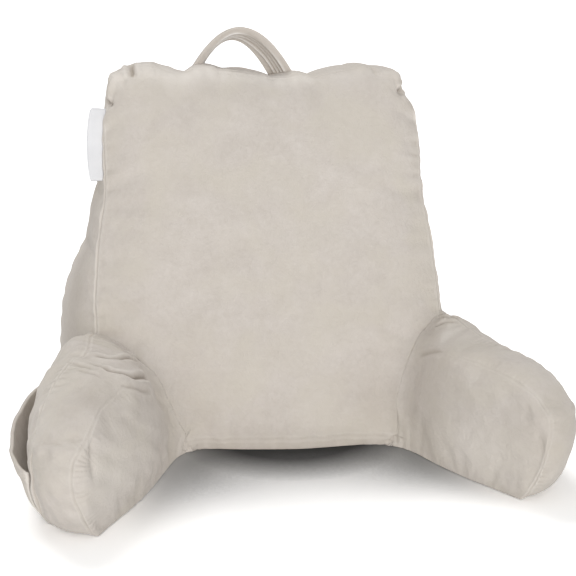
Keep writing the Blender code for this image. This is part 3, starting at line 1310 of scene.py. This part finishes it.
@dataclass
class FilledArm:
    """One filled arm: an inner and an outer panel and the gusset between them."""

    side: Side
    steps: tuple[int, int, int] = (56, 30, 18)
    rounding: int = 2
    corner: tuple[float, float] = (0.150, -0.010)
    splay: float = math.radians(28.5)
    inner_puff: float = 0.012
    outer_puff: float = 0.016
    gusset_puff: float = 0.010
    end_puff: float = 0.013
    lean_power: float = 1.15
    grain: Place = (0.50, 0.62, -0.60)
    rows: tuple[ArmRow, ...] = (
        ArmRow(-0.078, 0.000, 0.086, 0.110, 0.118, 0.130, 0.118, 0.118, 0.132),
        ArmRow(-0.030, 0.000, 0.058, 0.118, 0.127, 0.122, 0.109, 0.143, 0.142),
        ArmRow(0.020, -0.003, 0.025, 0.126, 0.133, 0.113, 0.099, 0.152, 0.140),
        ArmRow(0.060, -0.006, 0.012, 0.132, 0.134, 0.104, 0.090, 0.147, 0.136),
        ArmRow(0.110, -0.006, 0.006, 0.133, 0.133, 0.091, 0.081, 0.137, 0.131),
        ArmRow(0.150, -0.003, 0.003, 0.129, 0.129, 0.079, 0.075, 0.124, 0.124),
        ArmRow(0.175, -0.001, 0.001, 0.119, 0.119, 0.071, 0.071, 0.111, 0.113),
        ArmRow(0.195, 0.000, 0.000, 0.103, 0.103, 0.065, 0.068, 0.095, 0.097),
    )
    ends: tuple[EndRow, ...] = (
        EndRow(0.00, 0.168, 0.158),
        EndRow(0.15, 0.180, 0.168),
        EndRow(0.40, 0.192, 0.176),
        EndRow(0.70, 0.198, 0.182),
        EndRow(1.00, 0.190, 0.176),
    )
    seams_left: tuple[SeamRow, ...] = (
        SeamRow(0.00, 0.00, 0.72),
        SeamRow(0.32, 0.00, 0.70),
        SeamRow(0.46, 0.03, 0.61),
        SeamRow(0.52, 0.06, 0.62),
        SeamRow(0.56, 0.06, 0.71),
        SeamRow(0.66, 0.06, 0.78),
        SeamRow(0.80, 0.03, 0.86),
        SeamRow(0.92, 0.02, 1.00),
        SeamRow(1.02, 0.11, 1.00),
        SeamRow(1.20, 0.17, 1.00),
        SeamRow(1.50, 0.14, 1.00),
        SeamRow(2.00, 0.10, 1.00),
    )
    seams_right: tuple[SeamRow, ...] = (
        SeamRow(0.00, 0.00, 0.74),
        SeamRow(0.45, 0.00, 0.66),
        SeamRow(0.60, 0.10, 0.72),
        SeamRow(0.80, 0.12, 0.86),
        SeamRow(0.92, 0.17, 1.00),
        SeamRow(1.20, 0.13, 1.00),
        SeamRow(1.40, 0.00, 1.00),
        SeamRow(1.70, 0.00, 1.00),
        SeamRow(2.00, 0.10, 1.00),
    )

    @property
    def along(self) -> Array:
        """Unit direction from the arm's root to its end."""
        return np.array((self.side.value * math.sin(self.splay), -math.cos(self.splay), 0.0))

    @property
    def out(self) -> Array:
        """Unit direction out of the arm's outer panel."""
        return np.array((self.side.value * math.cos(self.splay), math.sin(self.splay), 0.0))

    @property
    def root(self) -> Array:
        """The seat's corner that the arm is measured from."""
        return np.array((self.side.value * self.corner[0], self.corner[1], 0.0))

    def panel(self, edge: str, a: Array, c: Array) -> Array:
        """Flat points of the inner or outer panel.

        Args:
            edge: Which panel, inner or outer.
            a: Shares along the arm.
            c: Shares up it.

        Returns:
            One point for each pair of shares.
        """
        nominal = mix(self.rows[0].along, self.rows[-1].along, a)
        along = mix(self.rows[0].along, smooth(self.ends, edge, c), a)
        if edge == "inner":
            top = smooth(self.rows, "inner_" + self.side.word, nominal)
            lean = smooth(self.rows, "lean", nominal) * np.maximum(c, 0) ** self.lean_power
            offset = smooth(self.rows, "foot", nominal) + lean
        else:
            top = smooth(self.rows, "top_" + self.side.word, nominal)
            offset = smooth(self.rows, "outer_" + self.side.word, nominal)
        height = UP * (top * c)[..., None]
        return self.root + self.along * along[..., None] + self.out * offset[..., None] + height

    def inner(self, a: Array, c: Array) -> Array:
        """Flat inner panel."""
        return self.panel("inner", a, c)

    def outer(self, a: Array, c: Array) -> Array:
        """Flat outer panel."""
        return self.panel("outer", a, c)

    def middle(self, a: Array, c: Array) -> Array:
        """Points midway between the two panels."""
        return mix(self.inner(a, c), self.outer(a, c), 0.5)

    def skin(self, shares: Array) -> Array:
        """Points of the puffed skin for shares along, up and through the arm."""
        a, c, d = shares.T
        share = d[:, None]
        flat = mix(self.inner(a, c), self.outer(a, c), share)
        inner_puff = self.inner_puff * dome(a, 1.1) * dome(c, 0.8)
        outer_puff = self.outer_puff * dome(a) * dome(c, 0.8)
        inner = facing(self.inner, a, c, -self.out) * inner_puff[:, None]
        outer = facing(self.outer, a, c, self.out) * outer_puff[:, None]
        sideways = outline_facing(self.middle, a, c, self.outer(a, c) - self.inner(a, c))
        puff = np.where(a == 1, self.end_puff * dome(0.5 * c), self.gusset_puff)
        puff = puff * dome(d, 0.8) * (c > 0)
        around = np.where(share == 1, outer, sideways * puff[:, None])
        return floored(flat + np.where(share == 0, inner, around))

    def build(self) -> bpy.types.Object:
        """Lay the arm's lattice out, with its seams noted on it."""
        shell = Shell.of(self.steps)
        shares = shell.shares()
        name = "arm_velvet_" + self.side.word
        piece = new_object(name, self.skin(shares) - FOOTPRINT, shell.quads)
        self.seams = {name: self.seam_path(shell, name) for name in ("inner", "outer")}
        self.held = np.where((shell.keys[:, 1] == 0) | (shell.keys[:, 0] == 0), 1.0, 0.0)
        self.held[self.seams["outer"]] = 1.0
        # The inner seam is held from just before the end and down it.
        self.held[self.seams["inner"][self.steps[0] - 4 :]] = 1.0
        along, up, through = shell.keys.T
        to_top = np.hypot(self.steps[1] - up, through)
        to_end = np.hypot(self.steps[0] - along, through)
        self.free = bell(np.minimum(to_top, to_end), EDGE_STEPS) * (1 - self.held)
        self.free = self.free * ramp(0, 3, up)
        self.quads = shell.quads
        return piece

    def seam_path(self, shell: Shell, name: str) -> Array:
        """Lattice points of a long seam: along the top, then down the end."""
        i, j, k = self.steps
        rows = self.seams_left if self.side is Side.LEFT else self.seams_right
        top = [(step, j, step / i) for step in range(i + 1)]
        end = [(i, step, 2 - step / j) for step in range(j - 1, -1, -1)]
        path = top + end
        depths = np.rint(smooth(rows, name, np.array([row[2] for row in path])) * k).astype(int)
        return np.array([shell.index[a, c, d] for (a, c, _), d in zip(path, depths)])

    def puckers(self) -> dict[str, Puckers]:
        """How each seam gathers the cloth beside it."""
        left = self.side is Side.LEFT
        seed = 40 if left else 60
        return {
            "inner": Puckers(
                groove=0.0011,
                groove_width=0.0014,
                welt=0.0006,
                height=0.0009 if left else 0.0012,
                wavelength=0.0066,
                reach=0.018 if left else 0.012,
                light=0.8,
                lean=tuple(self.out * self.side.value),
                profile=(
                    (0.00, 0.00),
                    (0.25, 0.10),
                    (0.55, 0.25),
                    (0.68, 0.45),
                    (0.80, 0.50),
                    (0.93, 1.00),
                    (1.00, 0.50),
                ),
                seed=seed,
            ),
            "outer": Puckers(
                groove=0.0011,
                groove_width=0.0016,
                height=0.0010,
                wavelength=0.012,
                reach=0.014,
                light=0.8,
                profile=((0.0, 0.6), (0.3, 1.0), (1.0, 1.0)),
                seed=seed + 7,
            ),
        }

    @property
    def crumple(self) -> float:
        """How rumpled the cloth is; the left arm's more than the right's."""
        return 0.00135 if self.side is Side.LEFT else 0.00040

    def creases(self) -> tuple[Crease, ...]:
        """Folds where the arm bends away from the back."""
        return ARM_CREASES[self.side]

    def hollows(self) -> tuple[PaintedDip, ...]:
        """A shallow dip with painted shade beside the folds, and patches of painted shade and
        painted highlight.
        """
        return ARM_PAINTED_DIPS[self.side]


@dataclass(frozen=True)
class RootJoint:
    """Where an arm is sewn to the back: the two surfaces ease into one another.

    The easing is wide at the inner panel and narrows outwards. A trimmed piece stays the
    gap away from the back.
    """

    wide: float = 0.042
    narrow: float = 0.010
    narrowing: tuple[float, float] = (0.035, 0.085)
    deepest: float = 0.03
    gap: float = 0.0001

    def ease(self, piece: bpy.types.Object, other: BVHTree, arm: FilledArm) -> Array:
        """Points of a piece after it is eased towards its neighbour.

        Args:
            piece: The piece to ease.
            other: Search tree of the neighbour.
            arm: The arm at this joint, for its directions.

        Returns:
            The piece's new points.
        """
        points, normals = get_points(piece.data), get_normals(piece.data)
        offset = (points + FOOTPRINT - arm.root) @ arm.out
        width = mix(self.wide, self.narrow, ramp(*self.narrowing, offset))
        moved = points.copy()
        for i in range(len(points)):
            found, normal, _, gap = other.find_nearest(points[i], self.wide * 1.2)
            if found is None:
                continue
            towards = Vector(points[i]) - found
            inside = towards.dot(normal) < 0
            distance = -gap if inside else gap
            agree = float(np.dot(normals[i], normal))
            reach = width[i] * max(math.sqrt(max(1 - agree * agree, 0.0)), 0.4)
            if distance < -self.deepest or distance > reach:
                continue
            share = 1 - max(distance, 0.0) / reach
            lift = 0.5 * width[i] * math.sqrt(max((1 - agree) / 2, 0.0)) * share * share
            way = unit(normals[i] + np.array(normal))
            moved[i] = points[i] + way * lift
        return floored(moved)


@dataclass
class PatchPocket:
    """A patch pocket on an arm's outer panel, gaping at its mouth."""

    arm: FilledArm
    steps: tuple[int, int] = (64, 40)
    first: tuple[float, float] = (5 / 16, 15 / 16)
    rise: tuple[float, float] = (1 / 10, 6 / 10)
    flat: tuple[float, float] = (0.185, 0.105)
    width: float = 0.19
    height: float = 0.085
    cloth: float = 0.0022
    hem: float = 0.0016
    hem_depth: float = 0.20
    gape: float = 0.016
    seat: float = 0.0012
    stitch_inset: float = 0.004
    stitch_dent: float = 0.0008
    look_from: float = 0.04
    lowest: float = 0.0006
    seed: int = 5

    def build(self, arm_tree: BVHTree) -> bpy.types.Object:
        """Lay the pocket's cloth over the filled arm."""
        u, v = grid_shares(self.steps)
        a, c = eased(mix(*self.first, u)), eased(mix(*self.rise, v))
        base = self.arm.skin(np.stack([a, c, np.ones_like(a)], 1)) - FOOTPRINT
        out = facing(self.arm.outer, a, c, self.arm.out)
        rise = self.bridged(self.heights(arm_tree, base, out))
        rumple = 0.0012 * wander(self.seed, u * self.width, 0.03) * v
        rumple += 0.0006 * wander(self.seed + 1, u * self.width + v * 0.02, 0.012)
        gape = self.gape * dome(u, 0.8) * v**1.2
        edge = np.minimum(np.minimum(u, 1 - u) * self.width, v * self.height)
        seated = self.seat * np.clip(edge / 0.008, 0, 1)
        lift = SEWN_GAP + gape + seated + rumple * np.clip(edge / 0.01, 0, 1)
        inner = base + out * rise[:, None] + out * lift[:, None]
        hem = self.hem * ramp(1 - self.hem_depth, 1 - self.hem_depth + 0.02, v)
        stitched = -self.stitch_dent * bell(edge - self.stitch_inset, 0.0015) * (v < 0.97)
        outer = inner + out * (self.cloth + hem + stitched)[:, None]
        name = "pocket_velvet_" + self.arm.side.word
        inner, outer = floored(inner, self.lowest), floored(outer, self.lowest)
        piece = thick_sheet(name, inner, outer, self.steps)
        face = outer.reshape(self.steps[0] + 1, self.steps[1] + 1, 3)
        hem_row = int(face.shape[1] * (1 - self.hem_depth)) + 1
        self.thread_lines = (
            face[2:-2, hem_row],
            np.concatenate((face[1, -2:1:-1], face[1:-1, 2], face[-2, 2:-1])),
        )
        # A painted highlight along the pocket's edges.
        write_mask(piece, "seam", np.tile(bell(edge, 0.003), 2))
        return piece

    def heights(self, arm_tree: BVHTree, base: Array, out: Array) -> Array:
        """How far the filled arm stands out past the panel at each point."""
        heights = np.zeros(len(base))
        for i, (point, way) in enumerate(zip(base, out)):
            start = Vector(point + way * self.look_from)
            hit, _, _, gap = arm_tree.ray_cast(start, Vector(-way), 2 * self.look_from)
            if hit is not None:
                heights[i] = self.look_from - gap
        return heights

    def bridged(self, rise: Array) -> Array:
        """Heights of the arm under the pocket, with its small hollows spanned."""
        field = rise.reshape(self.steps[0] + 1, self.steps[1] + 1)
        rows, columns = field.shape
        wide = np.pad(field, 1, mode="edge")
        shifts = [(i, j) for i in range(3) for j in range(3)]
        high = np.max([wide[i : i + rows, j : j + columns] for i, j in shifts], 0)
        for _ in range(3):
            wide = np.pad(high, 1, mode="edge")
            beside = wide[:-2, 1:-1] + wide[2:, 1:-1] + wide[1:-1, :-2] + wide[1:-1, 2:]
            high = (beside + 2 * high) / 6
        return np.maximum(high, field).ravel()


@dataclass
class CarryHandle:
    """A folded strap in an arch over the top, its front rim thick and its rear edge low.

    A pleat is its place across the strap, its depth and the seed of its wandering.
    """

    middle: Place = (-0.023, 0.233, 0.418)
    span: float = 0.150
    rise: float = 0.073
    skew: float = 0.004
    strap: float = 0.036
    cloth: float = 0.0044
    rim: float = 0.0034
    rear_rim: float = 0.0012
    droop: float = 0.019
    narrowing: float = 0.27
    left_bulk: float = 0.9
    length: float = 0.2
    flat: tuple[float, float] = (0.038, 0.192)
    steps: tuple[int, int] = (96, 56)
    pleats: tuple[tuple[float, float, int], ...] = (
        (-0.36, 0.0012, 3),
        (-0.20, 0.0024, 11),
        (-0.04, 0.0026, 23),
        (0.12, 0.0022, 31),
    )

    def build(self) -> bpy.types.Object:
        """Sweep the strap's folded section along its arch."""
        rows, half = self.steps
        turn = np.linspace(0, np.pi, rows + 1)[:, None]
        upper = -np.cos(np.linspace(0, np.pi, half + 1)) / 2
        w = np.concatenate((upper, upper[::-1][1:-1]))[None, :]
        on_top = np.arange(2 * half)[None, :] <= half
        across, along = w + 0.5, turn / np.pi
        reach = self.span / 2 * (1 - self.narrowing * across)
        edge = np.maximum(1 - np.abs(2 * w) ** 5, 0.0) ** 0.5
        bulk = 1 + self.left_bulk * (1 - ramp(0.05, 0.35, along))
        rim = bulk * self.rim * bell(w + 0.40, 0.11) + self.rear_rim * bell(w - 0.42, 0.08)
        folds, crest = self.pleated(w, along * self.length)
        under = -(self.cloth / 2 + rim + folds) * edge
        over = (self.cloth / 2 + 0.35 * rim + 0.4 * folds) * edge
        height = np.where(on_top, over, under)
        x = -np.cos(turn) * reach - self.skew * across
        y = (across - 0.5) * self.strap + 0 * turn
        low = self.droop * ramp(-0.1, 0.9, along * 1.3) * across * np.sin(turn) ** 0.8
        z = np.sin(turn) ** 2 * self.rise - low
        tangent = [-2 * np.cos(turn) * self.rise + 0 * w, 0 * (turn + w), reach + 0 * turn]
        points = np.stack([x, y, z], -1) + unit(np.stack(tangent, -1)) * height[..., None]
        points = points + np.array(self.middle) - FOOTPRINT
        grid = np.arange(x.size).reshape(x.shape)
        turned = np.roll(grid, -1, axis=1)
        ring = (grid[:-1], turned[:-1], turned[1:], grid[1:])
        sides = np.stack([corner.ravel() for corner in ring], 1)
        faces = sides.tolist() + [grid[0].tolist(), grid[-1][::-1].tolist()]
        piece = new_object("handle_velvet", points.reshape(-1, 3), faces)
        # Painted highlights on the pleats' crests, and painted shade over the rim and between the
        # pleats.
        light = np.clip(1.5 * crest, 0, 1)
        write_mask(piece, "seam", light.ravel())
        shade = np.interp(w, (-0.5, -0.40, -0.30, 0.10, 0.30), (0.42, 0.42, 0.58, 0.52, 0.15))
        write_mask(piece, "fold", (shade * (1 - light)).ravel())
        return piece

    def pleated(self, w: Array, length: Array) -> tuple[Array, Array]:
        """Height of the lengthwise pleats, and how near each point is to a crest.

        Args:
            w: Places across the strap.
            length: Places along it, in metres.

        Returns:
            The two fields, one row for each place along.
        """
        folds, crest = np.zeros((len(length), w.shape[1])), np.zeros((len(length), w.shape[1]))
        for place, depth, seed in self.pleats:
            line = place + 0.05 * wander(seed, length, 0.030)
            strength = 0.6 + 0.4 * wander(seed + 1, length, 0.045)
            folds += depth * bell(w - line, 0.042) * strength
            crest += bell(w - line, 0.036) * strength
        return folds, crest


@dataclass
class SideTab:
    """A bare folded tape caught in the left front seam."""

    back: BackCushion
    top: float = 0.397
    length: float = 0.082
    width: float = 0.034
    reach: float = 0.0157
    in_seam: float = 0.014
    cloth: float = 0.0014
    rounding: float = 0.0012
    bow: float = 0.0056
    wave: float = 0.0012
    lift: float = 0.003
    tilt: float = 0.15
    behind: float = 0.009
    flat: tuple[float, float] = (0.024, 0.082)
    steps: tuple[int, int] = (20, 40)

    def build(self) -> bpy.types.Object:
        """Lay the tape out from the seam, both faces of it."""
        u, v = grid_shares(self.steps)
        z = self.top - self.length * v + self.lift * u * (1 - v)
        reach = mix(-self.in_seam, self.reach, u)
        free = np.maximum(reach, 0) / self.reach
        x = -smooth(self.back.rows, "left", z) - reach - self.bow * dome(v) * free
        wave = self.wave * np.sin(2 * np.pi * (1.3 * v + 0.1)) * free
        y = smooth(self.back.rows, "front", z) + self.behind - self.tilt * reach - wave
        to_end = np.minimum(v * self.length, (1 - v) * self.length)
        to_edge = np.minimum((1 - u) * self.width, to_end)
        half = self.cloth / 2 * np.clip(to_edge / self.rounding, 0.35, 1.0)
        thick = np.stack([0 * half, half, 0 * half], -1)
        middle = np.stack([x, y, z], -1) - FOOTPRINT - np.array((0, self.cloth / 2, 0))
        piece = thick_sheet("tab_satin", middle + thick, middle - thick, self.steps)
        flat = piece.data.uv_layers.new(name="UVMap")
        both = np.tile(np.stack([reach, z], -1), (2, 1))
        corners = np.empty(len(piece.data.loops), int)
        piece.data.loops.foreach_get("vertex_index", corners)
        flat.data.foreach_set("uv", both[corners].astype(np.float32).ravel())
        return piece


# -------------------------------------------------------------------------- stitches


class StitchRow:
    """A row of stitches that Geometry Nodes lay along a line of points."""

    def __init__(self, thread: bpy.types.Material) -> None:
        """Build the shared tree once."""
        tree = bpy.data.node_groups.new("stitch_row", "GeometryNodeTree")
        face = tree.interface
        face.new_socket("Geometry", in_out="INPUT", socket_type="NodeSocketGeometry")
        self.sockets = {}
        sizes = (STITCH_SPACING, STITCH_SPACING * STITCH_SHARE, STITCH_THICKNESS)
        for name, size in zip(("Spacing", "Length", "Thickness"), sizes):
            socket = face.new_socket(name, in_out="INPUT", socket_type="NodeSocketFloat")
            socket.default_value = size
            self.sockets[name] = socket.identifier
        face.new_socket("Geometry", in_out="OUTPUT", socket_type="NodeSocketGeometry")
        sheet = NodeSheet(tree)
        given = sheet.add("NodeGroupInput")
        line = sheet.add("GeometryNodeMeshToCurve", {"Mesh": given.outputs["Geometry"]})
        spaced = sheet.add(
            "GeometryNodeResampleCurve",
            {"Curve": line.outputs[0], "Length": given.outputs["Spacing"]},
            mode="LENGTH",
        )
        tangent = sheet.add("GeometryNodeInputTangent")
        way = {"Vector": tangent.outputs[0]}
        turned = sheet.add("FunctionNodeAlignRotationToVector", way, axis="Z")
        body = sheet.add(
            "GeometryNodeMeshCylinder",
            {
                "Vertices": 6,
                "Side Segments": 1,
                "Radius": given.outputs["Thickness"],
                "Depth": given.outputs["Length"],
            },
        )
        laid = sheet.add(
            "GeometryNodeInstanceOnPoints",
            {
                "Points": spaced.outputs[0],
                "Instance": body.outputs["Mesh"],
                "Rotation": turned.outputs[0],
            },
        )
        real = sheet.add("GeometryNodeRealizeInstances", {0: laid.outputs[0]})
        bare = {"Geometry": real.outputs[0], "Material": thread}
        dressed = sheet.add("GeometryNodeSetMaterial", bare)
        sheet.add("NodeGroupOutput", {"Geometry": dressed.outputs[0]})
        self.tree = tree

    def sew(
        self, name: str, lines: Sequence[Array], spacing: float = STITCH_SPACING
    ) -> bpy.types.Object:
        """Sew rows of stitches as one piece.

        Args:
            name: Name of the piece.
            lines: Paths of the rows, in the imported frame.
            spacing: Distance from stitch to stitch.

        Returns:
            The stitches as a plain mesh object.
        """
        mesh = bpy.data.meshes.new(name)
        points = np.concatenate(lines)
        edges, start = [], 0
        for line in lines:
            edges += [(start + i, start + i + 1) for i in range(len(line) - 1)]
            start += len(line)
        mesh.from_pydata(points.tolist(), edges, [])
        piece = link(name, mesh)
        sewn = piece.modifiers.new("Stitches", "NODES")
        sewn.node_group = self.tree
        sewn[self.sockets["Spacing"]] = spacing
        sewn[self.sockets["Length"]] = spacing * STITCH_SHARE
        settle(piece)
        return piece


# ---------------------------------------------------------------------------- studio


@dataclass
class Studio:
    """A pale floor, soft light and a camera at the photograph's angle."""

    eye: Place = (-0.227, -1.228, 0.572)
    look: Place = (-0.002, 0.0, 0.211)
    lens: float = 70.69
    film: float = 36.0
    floor_size: float = 30.0
    floor_drop: float = 0.0006

    def build(self) -> None:
        """Set up the floor, the lights, the world and the camera."""
        self.make_camera()
        self.make_floor()
        self.make_world(0.38)
        self.make_light("top", (-0.22, 0.9, 1.25), 1.2, 34.0)
        self.make_light("front", (-0.05, -1.0, 0.12), 2.45, 60.0)
        bpy.context.scene.view_settings.view_transform = "Standard"

    def make_camera(self) -> None:
        """Place the camera and make it the scene's."""
        data = bpy.data.cameras.new("camera")
        data.lens = self.lens
        data.sensor_width = self.film
        camera = link("camera", data)
        eye = Vector(self.eye) - Vector(FOOTPRINT)
        look = Vector(self.look) - Vector(FOOTPRINT)
        camera.location = eye
        camera.rotation_euler = (look - eye).to_track_quat("-Z", "Y").to_euler()
        bpy.context.scene.camera = camera

    def make_floor(self) -> None:
        """Lay the floor just under the pillow."""
        ring = self.floor_size * np.array([(-1, -1), (1, -1), (1, 1), (-1, 1)])
        corners = np.column_stack((ring, np.full(4, -self.floor_drop)))
        floor = new_object("floor", corners, [(0, 1, 2, 3)])
        floor.data.materials.append(self.floor_material())

    @staticmethod
    def floor_material() -> bpy.types.Material:
        """Pale floor with a painted shadow close under the pillow.

        What the camera sees of it is set apart from the light that it throws back.
        """
        material, sheet = new_material("floor")
        seen = sheet.add("ShaderNodeLightPath").outputs["Is Camera Ray"]
        place = sheet.add("ShaderNodeTexCoord").outputs["Object"]

        def distance(start: Socket, spot: Place) -> Socket:
            """Distance from a spot on the floor."""
            ends = {0: start, 1: spot}
            return sheet.add("ShaderNodeVectorMath", ends, operation="DISTANCE").outputs["Value"]

        away = distance(place, (0.02, -0.05, 0.0))
        soft = {"interpolation_type": "SMOOTHSTEP"}
        # The painted shadow darkens the floor where the pillow hides the sky, most close under it.
        lowest = sheet.span(away, (0.12, 0.28), (0.28, 1.2), **soft)
        sky = sheet.add("ShaderNodeAmbientOcclusion", {"Distance": 0.30}, samples=16)
        depth = sheet.span(sky.outputs["AO"], (0.49, 0.90), (lowest, 1.35), **soft)
        # The painted shadow is darkest in the middle of the seat, in an oval.
        squeeze = {0: place, 1: (1.25, 1.0, 1.0)}
        oval = sheet.add("ShaderNodeVectorMath", squeeze, operation="MULTIPLY").outputs[0]
        seat = sheet.span(distance(oval, (0.025, 0.10, 0.0)), (0.145, 0.208), (0.24, 1.25))
        shaded = sheet.add("ShaderNodeMath", {0: depth, 1: seat}, operation="MULTIPLY")
        # The light that the floor throws back is dimmed close under the pillow, a painted shadow
        # for the bounce.
        thrown = sheet.span(away, (0.08, 0.30), (0.75, 0.90))
        tone = sheet.tint(seen, thrown, shaded.outputs[0])
        sheet.finish("ShaderNodeBsdfDiffuse", {"Color": tone})
        return material

    @staticmethod
    def make_world(strength: float) -> None:
        """Surround the scene with even light, plain white where the camera sees it."""
        world = bpy.data.worlds.new("studio")
        world.use_nodes = True
        sheet = NodeSheet(world.node_tree)
        seen = sheet.add("ShaderNodeLightPath").outputs["Is Camera Ray"]
        bright = sheet.span(seen, (0.0, 1.0), (strength, 1.0))
        white = {"Color": (1.0, 1.0, 1.0, 1.0), "Strength": bright}
        sheet.finish("ShaderNodeBackground", white, "ShaderNodeOutputWorld")
        bpy.context.scene.world = world

    @staticmethod
    def make_light(name: str, place: Place, power: float, softness: float) -> None:
        """Hang a very wide soft light in one direction from the pillow.

        Args:
            name: Name of the light.
            place: Direction that it stands in.
            power: Its strength.
            softness: Width of the light, in degrees.
        """
        data = bpy.data.lights.new(name, "SUN")
        data.energy = power
        data.angle = math.radians(softness)
        light = link(name, data)
        light.rotation_euler = Vector(place).to_track_quat("Z", "Y").to_euler()


# ------------------------------------------------------------------------- assembly


class Pillow:
    """The whole pillow, built piece by piece."""

    def __init__(self) -> None:
        """Lay out the parts and make the finishes."""
        self.wardrobe = Wardrobe()
        self.back = BackCushion()
        self.arms = [FilledArm(side) for side in Side]
        self.filling = Filling()
        self.joint = RootJoint()

    @property
    def filled(self) -> list[tuple[BackCushion | FilledArm, bpy.types.Object]]:
        """The back and both arms, each with its piece."""
        return [(self.back, self.back_piece), *zip(self.arms, self.arm_pieces)]

    def fill(self) -> None:
        """Build the three filled pieces, fill them and round them."""
        self.back_piece = self.back.build()
        self.arm_pieces = [arm.build() for arm in self.arms]
        for part, piece in self.filled:
            self.filling.fit(piece, part.held)
        self.filling.run([piece for _, piece in self.filled])
        for part, piece in self.filled:
            points = relax(get_points(piece.data), part.quads, part.free)
            set_points(piece.data, floored(points))
            subdivide(piece, part.rounding)

    def join_roots(self) -> None:
        """Ease the arms and the back into one another at their seams."""
        back_tree = bvh_of(self.back_piece)
        start = get_points(self.back_piece.data)
        eased_back = start.copy()
        for arm, piece in zip(self.arms, self.arm_pieces):
            eased_back += self.joint.ease(self.back_piece, bvh_of(piece), arm) - start
        for arm, piece in zip(self.arms, self.arm_pieces):
            set_points(piece.data, self.joint.ease(piece, back_tree, arm))
        set_points(self.back_piece.data, eased_back)

    def sew_seams(self) -> None:
        """Groove and gather the cloth along the seams, press its folds, and paint highlights and
        shade along them.
        """
        for part, piece in self.filled:
            points, normals = get_points(piece.data), get_normals(piece.data)
            tree = bvh_of(piece)
            reliefs = [
                puckers.shape(points, SeamLine(ironed(points[part.seams[name]])))
                for name, puckers in part.puckers().items()
            ]
            reliefs += [press_crease(points, crease, tree) for crease in part.creases()]
            reliefs += [press_painted_dip(points, painted_dip) for painted_dip in part.hollows()]
            height = sum(relief.height for relief in reliefs)
            grain = np.array(part.grain)
            drawn_out = points - GRAIN_STRETCH * (points @ grain)[:, None] * grain
            lumpy = lumps(points, LUMPS) + part.crumple * lumps(drawn_out, RUMPLE)
            above = ramp(0.0, 0.02, points[:, 2])
            moved = points + normals * ((height + lumpy) * above)[:, None]
            set_points(piece.data, floored(moved))
            # Painted highlights on the welts, banks and crown, and painted shade in the grooves,
            # folds and patches.
            write_mask(piece, "seam", np.max([relief.light for relief in reliefs], 0))
            write_mask(piece, "fold", np.max([relief.dark for relief in reliefs], 0))

    def trim(self, piece: bpy.types.Object) -> None:
        """Cut a piece back to the back's surface, the joint's gap away from it."""
        grown = self.back_piece.data.copy()
        set_points(grown, get_points(grown) + get_normals(grown) * self.joint.gap)
        cutter = link("trim", grown)
        cut = piece.modifiers.new("Sewn edge", "BOOLEAN")
        cut.operation = "DIFFERENCE"
        cut.solver = "MANIFOLD"
        cut.object = cutter
        settle(piece)
        bpy.data.objects.remove(cutter)
        bpy.data.meshes.remove(grown)

    @staticmethod
    def dress(
        piece: bpy.types.Object, material: bpy.types.Material, slot: str, *nodes: str
    ) -> None:
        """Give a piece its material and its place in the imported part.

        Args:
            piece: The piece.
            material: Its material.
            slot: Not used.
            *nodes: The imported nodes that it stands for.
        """
        piece.data.materials.clear()
        piece.data.materials.append(material)
        piece.data.shade_smooth()
        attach(piece, "root")
        if nodes:
            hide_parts(*nodes)
        LOG.info("%s: %d faces", piece.name, len(piece.data.polygons))

    def build(self) -> None:
        """Build every piece of the pillow."""
        finish = self.wardrobe
        self.fill()
        self.join_roots()
        self.sew_seams()
        self.dress(self.back_piece, finish.velvet, "velvet", "back_cushion")
        stitches = StitchRow(finish.thread)
        for arm, piece in zip(self.arms, self.arm_pieces):
            word = arm.side.word
            pocket = PatchPocket(arm)
            cloth = pocket.build(bvh_of(piece))
            self.dress(cloth, finish.velvet, "velvet", "pocket_" + word)
            rows = stitches.sew("pocket_stitches_" + word, pocket.thread_lines)
            self.dress(rows, finish.thread, "velvet")
            self.trim(piece)
            self.dress(piece, finish.velvet, "velvet", "arm_" + word)
        handle, tab = CarryHandle(), SideTab(self.back)
        for sheet, material, slot, node in (
            (handle, finish.strap_velvet, "strap_velvet", "carry_handle"),
            (tab, finish.satin, "satin", "side_label"),
        ):
            piece = sheet.build()
            self.trim(piece)
            self.dress(piece, material, slot, node)


def main() -> None:
    """Build the pillow and the studio."""
    logging.basicConfig(level=logging.INFO, format="%(message)s")
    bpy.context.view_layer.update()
    Pillow().build()
    Studio().build()


if __name__ == "__main__":
    main()
